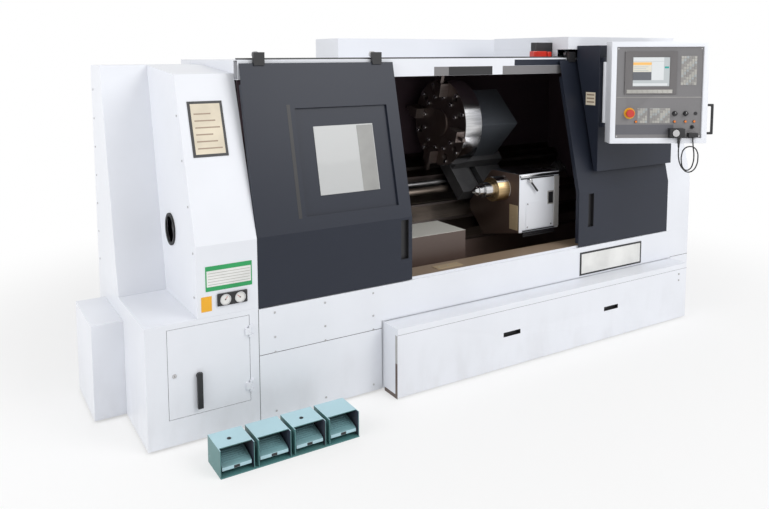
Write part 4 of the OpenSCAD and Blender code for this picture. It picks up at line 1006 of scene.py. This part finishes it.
class LATHE_OT_plates(bpy.types.Operator):
    """Plates, gauges, lock, seams and cover screws"""

    bl_idname = "lathe.plates"
    bl_label = "Plates and fittings"

    # Left, right, foot and top of each plate on the header, and its finish.
    HEADER_PLATES = (
        (1.82, 1.93, 0.001, 0.055, 0),
        (1.93, 2.275, 0.001, 0.055, 1),
        (2.36, 2.88, 0.001, 0.055, 0),
        (2.46, 2.92, 0.056, 0.095, 2),
    )

    # Depth of the thin dark strips that stand for gaps.
    GAP_DEPTH = 0.0004

    def execute(self, context):
        self.plates()
        self.door_switch()
        self.housing_skirt()
        self.gauges()
        self.seams()
        self.tunnel_lip()
        self.tank_trim()
        self.header_trim()
        self.screws()
        self.bar_hole()
        return {"FINISHED"}

    def plates(self):
        """Plates of the headstock cover, the apron and the control housing."""
        t, edge = sizes().plate_thickness, 0.0004
        lines = [0.781 + k * 0.0142 for k in range(5)]
        bm = bmesh.new()
        add_blocks(
            bm, FRONT,
            ((0.300, -t, 0.750), (0.540, 0, 0.875), 0, edge),
            ((0.306, -t * 1.4, 0.772), (0.534, -t, 0.852), 1),
            *(((0.312, -t * 1.7, z), (0.528, -t, z + 0.0025), 4) for z in lines),
            ((0.276, -t, 0.651), (0.329, 0, 0.726), 2, edge),
        )
        rise = (COVER_TOP - COVER_BEND).normalized().z
        foot, top = ((z - COVER_BEND.z) / rise for z in (1.395, 1.670))
        add_block(bm, COVER_SLOPE, (0.303, -t * 2, foot), (0.485, 0, top), 3, 0.0006)
        add_block(bm, COVER_SLOPE, (0.317, -t * 2.4, foot + 0.014), (0.471, -t, top - 0.014), 5)
        for k in range(6):
            z = foot + 0.04 + k * 0.036
            add_block(bm, COVER_SLOPE, (0.330, -t * 2.7, z), (0.458 - 0.02 * (k % 3), -t, z + 0.007), 6)
        add_block(bm, FRONT, (2.861, -t * 2, 0.418), (3.470, 0, 0.576), 3, 0.0006)
        add_block(bm, FRONT, (2.875, -t * 2.5, 0.430), (3.456, -t, 0.564), 1)
        piece("plates", bm, ["green", "plate", "yellow", "black", "key_pale", "paper", "sill"])
        block_piece(
            "housing_plate", ["paper", "sill"], set_in(LEFT_SIDE, lowest("control_housing").x),
            ((-0.095, -t, 1.562), (-0.012, 0, 1.648), 0, edge),
            *(((-0.086, -t * 1.4, z), (-0.021, -t, z + 0.010), 1) for z in (1.578, 1.602, 1.626)),
        )

    def door_switch(self):
        """Red switch and black bracket of the door, on the roof behind the header."""
        roof, back = highest("roof_panel").z, highest("door_header").y
        block_piece(
            "door_switch", ["red", "black"],
            Matrix.Translation(corner_point(lowest("top_housing").x, back, roof)),
            ((-0.215, 0.006, 0), (-0.095, 0.046, 0.046), 0, 0.003),
            ((-0.085, 0.006, 0), (-0.050, 0.046, 0.042), 0, 0.003),
            ((-0.155, 0.050, 0), (0, 0.100, 0.105), 1, 0.003),
            slot="red_plastic",
        )

    def housing_skirt(self):
        """Sheet that closes the top housing down to the roof, at its left end and its back."""
        sheet = 0.003
        low, high = limits("top_housing")
        roof = highest("roof_panel").z
        block_piece(
            "housing_skirt", ["white"], FRONT,
            ((low.x, highest("door_header").y + 0.002, roof), (low.x + sheet, high.y, low.z)),
            ((low.x + sheet, high.y - sheet, roof), (lowest("right_end_cover").x, high.y, low.z)),
        )

    def gauges(self):
        """Oblong pod with two round gauges on the headstock cover, and the lock of the access door."""
        bm = bmesh.new()
        add_block(bm, FRONT, (0.356, -0.010, 0.668), (0.512, 0, 0.732), 0, 0.004)
        for x, angle in ((0.396, 35), (0.472, -50)):
            add_ring(bm, FRONT, (x, -0.010, 0.700), 0.0235, 0.028, 0.004, 2)
            add_disc(bm, FRONT, (x, -0.010, 0.700), 0.0235, 0.0012, 1, 0.0, 32)
            turn = Matrix.Translation((x, 0, 0.700)) @ Matrix.Rotation(math.radians(angle), 4, "Y")
            add_block(bm, FRONT @ turn, (-0.0009, -0.0122, -0.004), (0.0009, -0.0112, 0.018), 3)
            add_disc(bm, FRONT, (x, -0.0112, 0.700), 0.003, 0.0015, 0)
        piece("gauges", bm, ["black", "plate", "polished", "red"], "machine", "black_plastic")
        lock, spot = bmesh.new(), (0.135, 0.0, 0.361)
        add_ring(lock, FRONT, spot, 0.006, 0.011, 0.003, 0, 24)
        add_disc(lock, FRONT, spot, 0.006, 0.002, 0)
        add_block(lock, FRONT, (0.1342, -0.0026, 0.357), (0.1358, -0.0018, 0.365), 1)
        piece("access_lock", lock, ["polished", "black"], "access_door", "bright_steel")

    def seams(self):
        """Thin dark gaps where one cover meets the next."""
        w, depth = sizes().seam, self.GAP_DEPTH
        tank_left, tank_right = lowest("coolant_tank").x, highest("coolant_tank").x
        left, right = lowest("front_apron").x, highest("front_apron").x
        block_piece(
            "cover_seams", ["seam"], FRONT,
            ((left - w / 2, -depth, 0.012), (left + w / 2, 0, SILL)),
            ((left, -depth, 0.365), (tank_left - 0.010, 0, 0.365 + w)),
            ((tank_right + 0.010, -depth, 0.410), (right, 0, 0.410 + w)),
        )

    def tunnel_lip(self):
        """White lip in the apron's cut-out, close round the tank's top and ends."""
        low, high = limits("coolant_tank")
        near, far, face, back, foot = 0.0015, 0.0055, 0.0002, 0.0025, 0.014
        top = high.z + near
        block_piece(
            "tunnel_lip", ["white"], FRONT,
            ((low.x - far, face, top), (high.x + far, back, high.z + far)),
            ((low.x - far, face, foot), (low.x - near, back, top)),
            ((high.x + near, face, foot), (high.x + far, back, top)),
        )

    def tank_trim(self):
        """Seam and screws on the tank's front, and strips of painted shade along its left side and foot."""
        depth = self.GAP_DEPTH
        low, high = limits("coolant_tank")
        face = set_in(FRONT, low.y)
        bm = bmesh.new()
        add_block(bm, face, (low.x, -depth, 0.368), (high.x, 0, 0.368 + sizes().seam / 2), 0)
        for z in (0.290, 0.335):
            add_disc(bm, face, (high.x - 0.085, 0, z), 0.007, 0.003, 1, 0.0008, 16)
        front = -low.y - 0.002
        back = front - 0.022
        # Dark and grey strips on the tank's left side and along its foot: painted shade.
        add_blocks(
            bm, set_in(LEFT_SIDE, low.x),
            ((back, -depth, 0.004), (front, 0, 0.205), 2),
            ((back, -depth, 0.205), (front, 0, 0.365), 3),
            ((0.012, -depth, 0.004), (back, 0, 0.026), 2),
        )
        piece("tank_trim", bm, ["seam", "steel", "tray", "grey"], "coolant_tank", "white_paint")

    def header_trim(self):
        """Grey wiper plates, the gap between them and the dark end of the rail on the door header."""
        low, depth = lowest("door_header"), 0.0005
        face = Matrix.Translation(corner_point(0, low.y, low.z))
        rows = (((x0, -depth, z0), (x1, 0, z1), key) for x0, x1, z0, z1, key in self.HEADER_PLATES)
        block_piece("header_trim", ["panel", "black", "navy"], face, *rows)

    def screws(self):
        """Screw heads along the left faces of the column and the cover, and on the apron."""
        lean = 0.344
        cover = set_in(LEFT_SIDE, lowest("headstock_cover").x)
        heads = [(LEFT_SIDE, -1.03, 0.72 + k * 0.165) for k in range(7)]
        for k in range(5):
            z = 0.72 + k * 0.22
            heads.append((cover, -0.04 - max(0.0, (z - COVER_BEND.z) * lean), z))
        heads += [(FRONT, x, z) for x in (0.66, 0.95, 1.25) for z in (0.05, 0.37, 0.45, 0.58)]
        bm = bmesh.new()
        for place, x, z in heads:
            add_disc(bm, place, (x, 0.0, z), sizes().screw_head, 0.0025, 0, 0.0008, 16)
        piece("cover_screws", bm, ["steel"], "machine", "bright_steel")

    def bar_hole(self):
        """Rubber lip of the bar hole in the headstock cover."""
        bm = bmesh.new()
        place = set_in(LEFT_SIDE, lowest("headstock_cover").x)
        add_ring(bm, place, (-AXIS.y, 0.0, AXIS.z), 0.070, 0.086, 0.008, 0)
        piece("bar_hole_lip", bm, ["rubber"], "machine", "rubber")


class LATHE_OT_rear(bpy.types.Operator):
    """Doors, louvres, fan guard and covers of the back and the right end"""

    bl_idname = "lathe.rear"
    bl_label = "Rear fittings"

    LEAF = 0.0025
    KEYS = ["white", "black", "steel", "seam"]

    def execute(self, context):
        self.cabinet_doors()
        self.back_cover()
        self.end_cover()
        return {"FINISHED"}

    def leaf(self, bm, place, x, z):
        """Cover sheet between x and z limits, with a dark gap round it."""
        gap, (x0, x1), (z0, z1) = 0.003, x, z
        add_block(bm, place, (x0 - gap, -0.0004, z0 - gap), (x1 + gap, 0, z1 + gap), 3)
        add_block(bm, place, (x0, -self.LEAF, z0), (x1, 0, z1), 0, 0.001)

    def louvres(self, bm, place, x, z, width, rows):
        """Rows of dark slots, each under a pressed lip."""
        half, lip, pitch = width / 2, width / 2 + 0.004, 0.026
        for k in range(rows):
            level = z + k * pitch
            top = level + 0.008
            add_block(bm, place, (x - half, -self.LEAF * 1.05, level), (x + half, 0, top), 1)
            add_block(bm, place, (x - lip, -self.LEAF * 1.8, top), (x + lip, 0, top + 0.005), 0, 0.001)

    def edge_screws(self, bm, place, x, z):
        """Screws down both sides of a cover between x and z limits."""
        steps = 5
        for side in x:
            for k in range(steps):
                level = z[0] + (z[1] - z[0]) * k / (steps - 1)
                add_disc(bm, place, (side, -self.LEAF, level), sizes().screw_head, 0.002, 2, 0.0006, 16)

    def cabinet_doors(self):
        """Two louvred doors of the rear cabinet, each with a lever and three hinges."""
        low, high = limits("rear_cabinet")
        back = plane(corner_point(0, high.y, 0), (-1, 0, 0))
        middle = -(low.x + high.x) / 2
        proud = self.LEAF * 2
        bm = bmesh.new()
        for outer, inner in ((-high.x + 0.035, middle - 0.004), (-low.x - 0.035, middle + 0.004)):
            x0, x1 = sorted((outer, inner))
            self.leaf(bm, back, (x0, x1), (0.150, high.z - 0.050))
            for z in (0.28, 1.62):
                self.louvres(bm, back, (x0 + x1) / 2, z, 0.34, 8)
            lever = inner + math.copysign(0.055, outer - inner)
            add_block(bm, back, (lever - 0.014, -proud, 0.98), (lever + 0.014, 0, 1.16), 1, 0.0015)
            add_disc(bm, back, (lever, -proud, 1.13), 0.009, 0.0015, 2, 0.0005)
            for z in (0.34, 1.05, 1.76):
                hinge = (outer - 0.010, -proud * 1.1, z), (outer + 0.010, 0, z + 0.09)
                add_block(bm, back, *hinge, 2, 0.0015)
        piece("rear_doors", bm, self.KEYS)

    def back_cover(self):
        """Screwed cover with a fan guard behind the headstock."""
        back = plane(corner_point(0, highest("back_wall").y, 0), (-1, 0, 0))
        left, right = -lowest("rear_cabinet").x + 0.06, -highest("rear_column").x - 0.06
        middle = (left + right) / 2
        bm = bmesh.new()
        self.leaf(bm, back, (left, right), (0.300, 1.700))
        self.edge_screws(bm, back, (left + 0.025, right - 0.025), (0.33, 1.67))
        hub = (middle, -self.LEAF, 1.40)
        add_disc(bm, back, hub, 0.125, 0.001, 1, 0.0, 48)
        for radius in (0.030, 0.055, 0.080, 0.105, 0.128):
            add_ring(bm, back, hub, radius - 0.003, radius + 0.003, 0.006, 2)
        for k in range(4):
            turn = Matrix.Translation(hub) @ Matrix.Rotation(math.radians(45 * k), 4, "Y")
            add_block(bm, back @ turn, (-0.128, -0.0045, -0.0025), (0.128, -0.001, 0.0025), 2)
        self.louvres(bm, back, middle, 0.42, 0.40, 10)
        piece("back_cover", bm, self.KEYS)

    def end_cover(self):
        """Screwed cover with louvres on the right end."""
        end = plane(corner_point(highest("right_end_cover").x, 0, 0), (0, 1, 0))
        bm = bmesh.new()
        self.leaf(bm, end, (0.420, 1.100), (0.720, 1.620))
        self.edge_screws(bm, end, (0.445, 1.075), (0.75, 1.59))
        self.louvres(bm, end, 0.76, 0.84, 0.36, 8)
        piece("end_cover", bm, self.KEYS)


class LATHE_OT_stage(bpy.types.Operator):
    """Pale floor, soft studio light and the camera"""

    bl_idname = "lathe.stage"
    bl_label = "Stage"

    EYE = (-2.7807, -4.0219, 1.900)
    YAW, PITCH, ROLL = 31.407, 5.705, -0.205
    SHIFT_Y = -0.163

    def execute(self, context):
        scene = context.scene
        scene.view_settings.view_transform = "Standard"
        self.floor()
        self.sky(scene)
        stage = scene.lathe_stage
        self.lamp("Key", (2.5, -6.0, 5.5), (0.0, 0.0, 0.9), 5.0, stage.key_power)
        self.lamp("Fill", (-6.5, -1.0, 3.5), (-1.5, 0.0, 0.9), 4.0, stage.fill_power)
        self.camera(scene)
        return {"FINISHED"}

    def white_to_camera(self, tree, lit_shader, output, kind="ShaderNodeBackground", share=1.0):
        """Shows white to the camera, in mirrors and through panes, by share, and lit_shader to the rest."""
        rays = add_node(tree, "ShaderNodeLightPath").outputs
        seen = maths(tree, "ADD", rays["Is Camera Ray"], rays["Is Glossy Ray"])
        seen = maths(tree, "ADD", seen, rays["Is Transmission Ray"])
        seen.node.use_clamp = True
        white = add_node(tree, kind, Strength=1.0, Color=(1, 1, 1, 1))
        mix = add_node(tree, "ShaderNodeMixShader", Fac=maths(tree, "MULTIPLY", seen, share))
        feed(mix.inputs[1], lit_shader)
        feed(mix.inputs[2], white.outputs[0])
        feed(output, mix.outputs[0])

    def sky(self, scene):
        """Even white light from all round."""
        scene.world = bpy.data.worlds.new("Studio")
        scene.world.use_nodes = True
        tree = scene.world.node_tree
        plain = tree.nodes["Background"]
        feed_all(plain, Color=(1.0, 1.0, 1.0, 1.0), Strength=scene.lathe_stage.sky)
        self.white_to_camera(tree, plain.outputs[0], tree.nodes["World Output"].inputs["Surface"])

    def floor(self):
        """Plain floor that turns white away from the machine."""
        bm = bmesh.new()
        bmesh.ops.create_grid(bm, x_segments=1, y_segments=1, size=bpy.context.scene.lathe_stage.floor_half)
        mesh = bpy.data.meshes.new("floor")
        bm.to_mesh(mesh)
        bm.free()
        obj = show("floor", mesh)
        material, tree, principled = shader("Studio floor", 0.9)
        feed_all(principled, Base_Color=(*finishes().floor, 1.0), Specular_IOR_Level=0.0)
        reach = add_node(tree, "ShaderNodeVectorMath")
        reach.operation = "LENGTH"
        feed(reach.inputs[0], add_node(tree, "ShaderNodeTexCoord").outputs["Object"])
        share = ramp(tree, reach.outputs["Value"], 2.2, 4.5, 0.55, 1.0)
        self.white_to_camera(tree, principled.outputs[0], tree.nodes["Material Output"].inputs["Surface"],
                             "ShaderNodeEmission", share)
        mesh.materials.append(material)

    def lamp(self, name, place, aim, size, power):
        """Round area light that looks at a point."""
        data = bpy.data.lights.new(name, "AREA")
        data.shape, data.size, data.energy = "DISK", size, power
        obj = show(name, data)
        obj.location = place
        obj.rotation_euler = (Vector(aim) - Vector(place)).to_track_quat("-Z", "Y").to_euler()

    def camera(self, scene):
        """Camera fitted to the machine's straight edges."""
        data = bpy.data.cameras.new("Photo view")
        data.lens, data.sensor_width, data.sensor_fit = scene.lathe_stage.lens, 36.0, "HORIZONTAL"
        data.shift_y, data.clip_end = self.SHIFT_Y, 100.0
        scene.camera = show("Photo view", data)
        turn = (
            Matrix.Rotation(math.radians(-self.YAW), 4, "Z")
            @ Matrix.Rotation(math.radians(90 - self.PITCH), 4, "X")
            @ Matrix.Rotation(math.radians(self.ROLL), 4, "Z")
        )
        scene.camera.matrix_world = Matrix.Translation(self.EYE) @ turn


class LATHE_PT_dressing(bpy.types.Panel):
    """Lists the lathe's operators and sizes"""

    bl_idname = "LATHE_PT_dressing"
    bl_label = "Lathe"
    bl_space_type = "VIEW_3D"
    bl_region_type = "UI"
    bl_category = "Lathe"

    def draw(self, context):
        for operator in OPERATORS:
            self.layout.operator(operator.bl_idname)
        for key in GROUP_CLASSES:
            group = getattr(context.scene, key)
            for name in group.__annotations__:
                self.layout.prop(group, name)


OPERATORS = (
    LATHE_OT_covers, LATHE_OT_doors, LATHE_OT_work_zone, LATHE_OT_spindle_line, LATHE_OT_turret,
    LATHE_OT_pendant, LATHE_OT_hand_cord, LATHE_OT_pedals, LATHE_OT_plates, LATHE_OT_rear, LATHE_OT_stage,
)
GROUP_CLASSES = {"lathe_finishes": LatheFinishes, "lathe_sizes": LatheSizes, "lathe_stage": LatheStage}
CLASSES = (*GROUP_CLASSES.values(), *OPERATORS, LATHE_PT_dressing)


def register():
    for cls in CLASSES:
        bpy.utils.register_class(cls)
    for key, cls in GROUP_CLASSES.items():
        setattr(bpy.types.Scene, key, bpy.props.PointerProperty(type=cls))


def unregister():
    for key in GROUP_CLASSES:
        delattr(bpy.types.Scene, key)
    for cls in reversed(CLASSES):
        bpy.utils.unregister_class(cls)


def main():
    register()
    for operator in OPERATORS:
        group, name = operator.bl_idname.split(".")
        getattr(getattr(bpy.ops, group), name)()


if __name__ == "__main__":
    main()
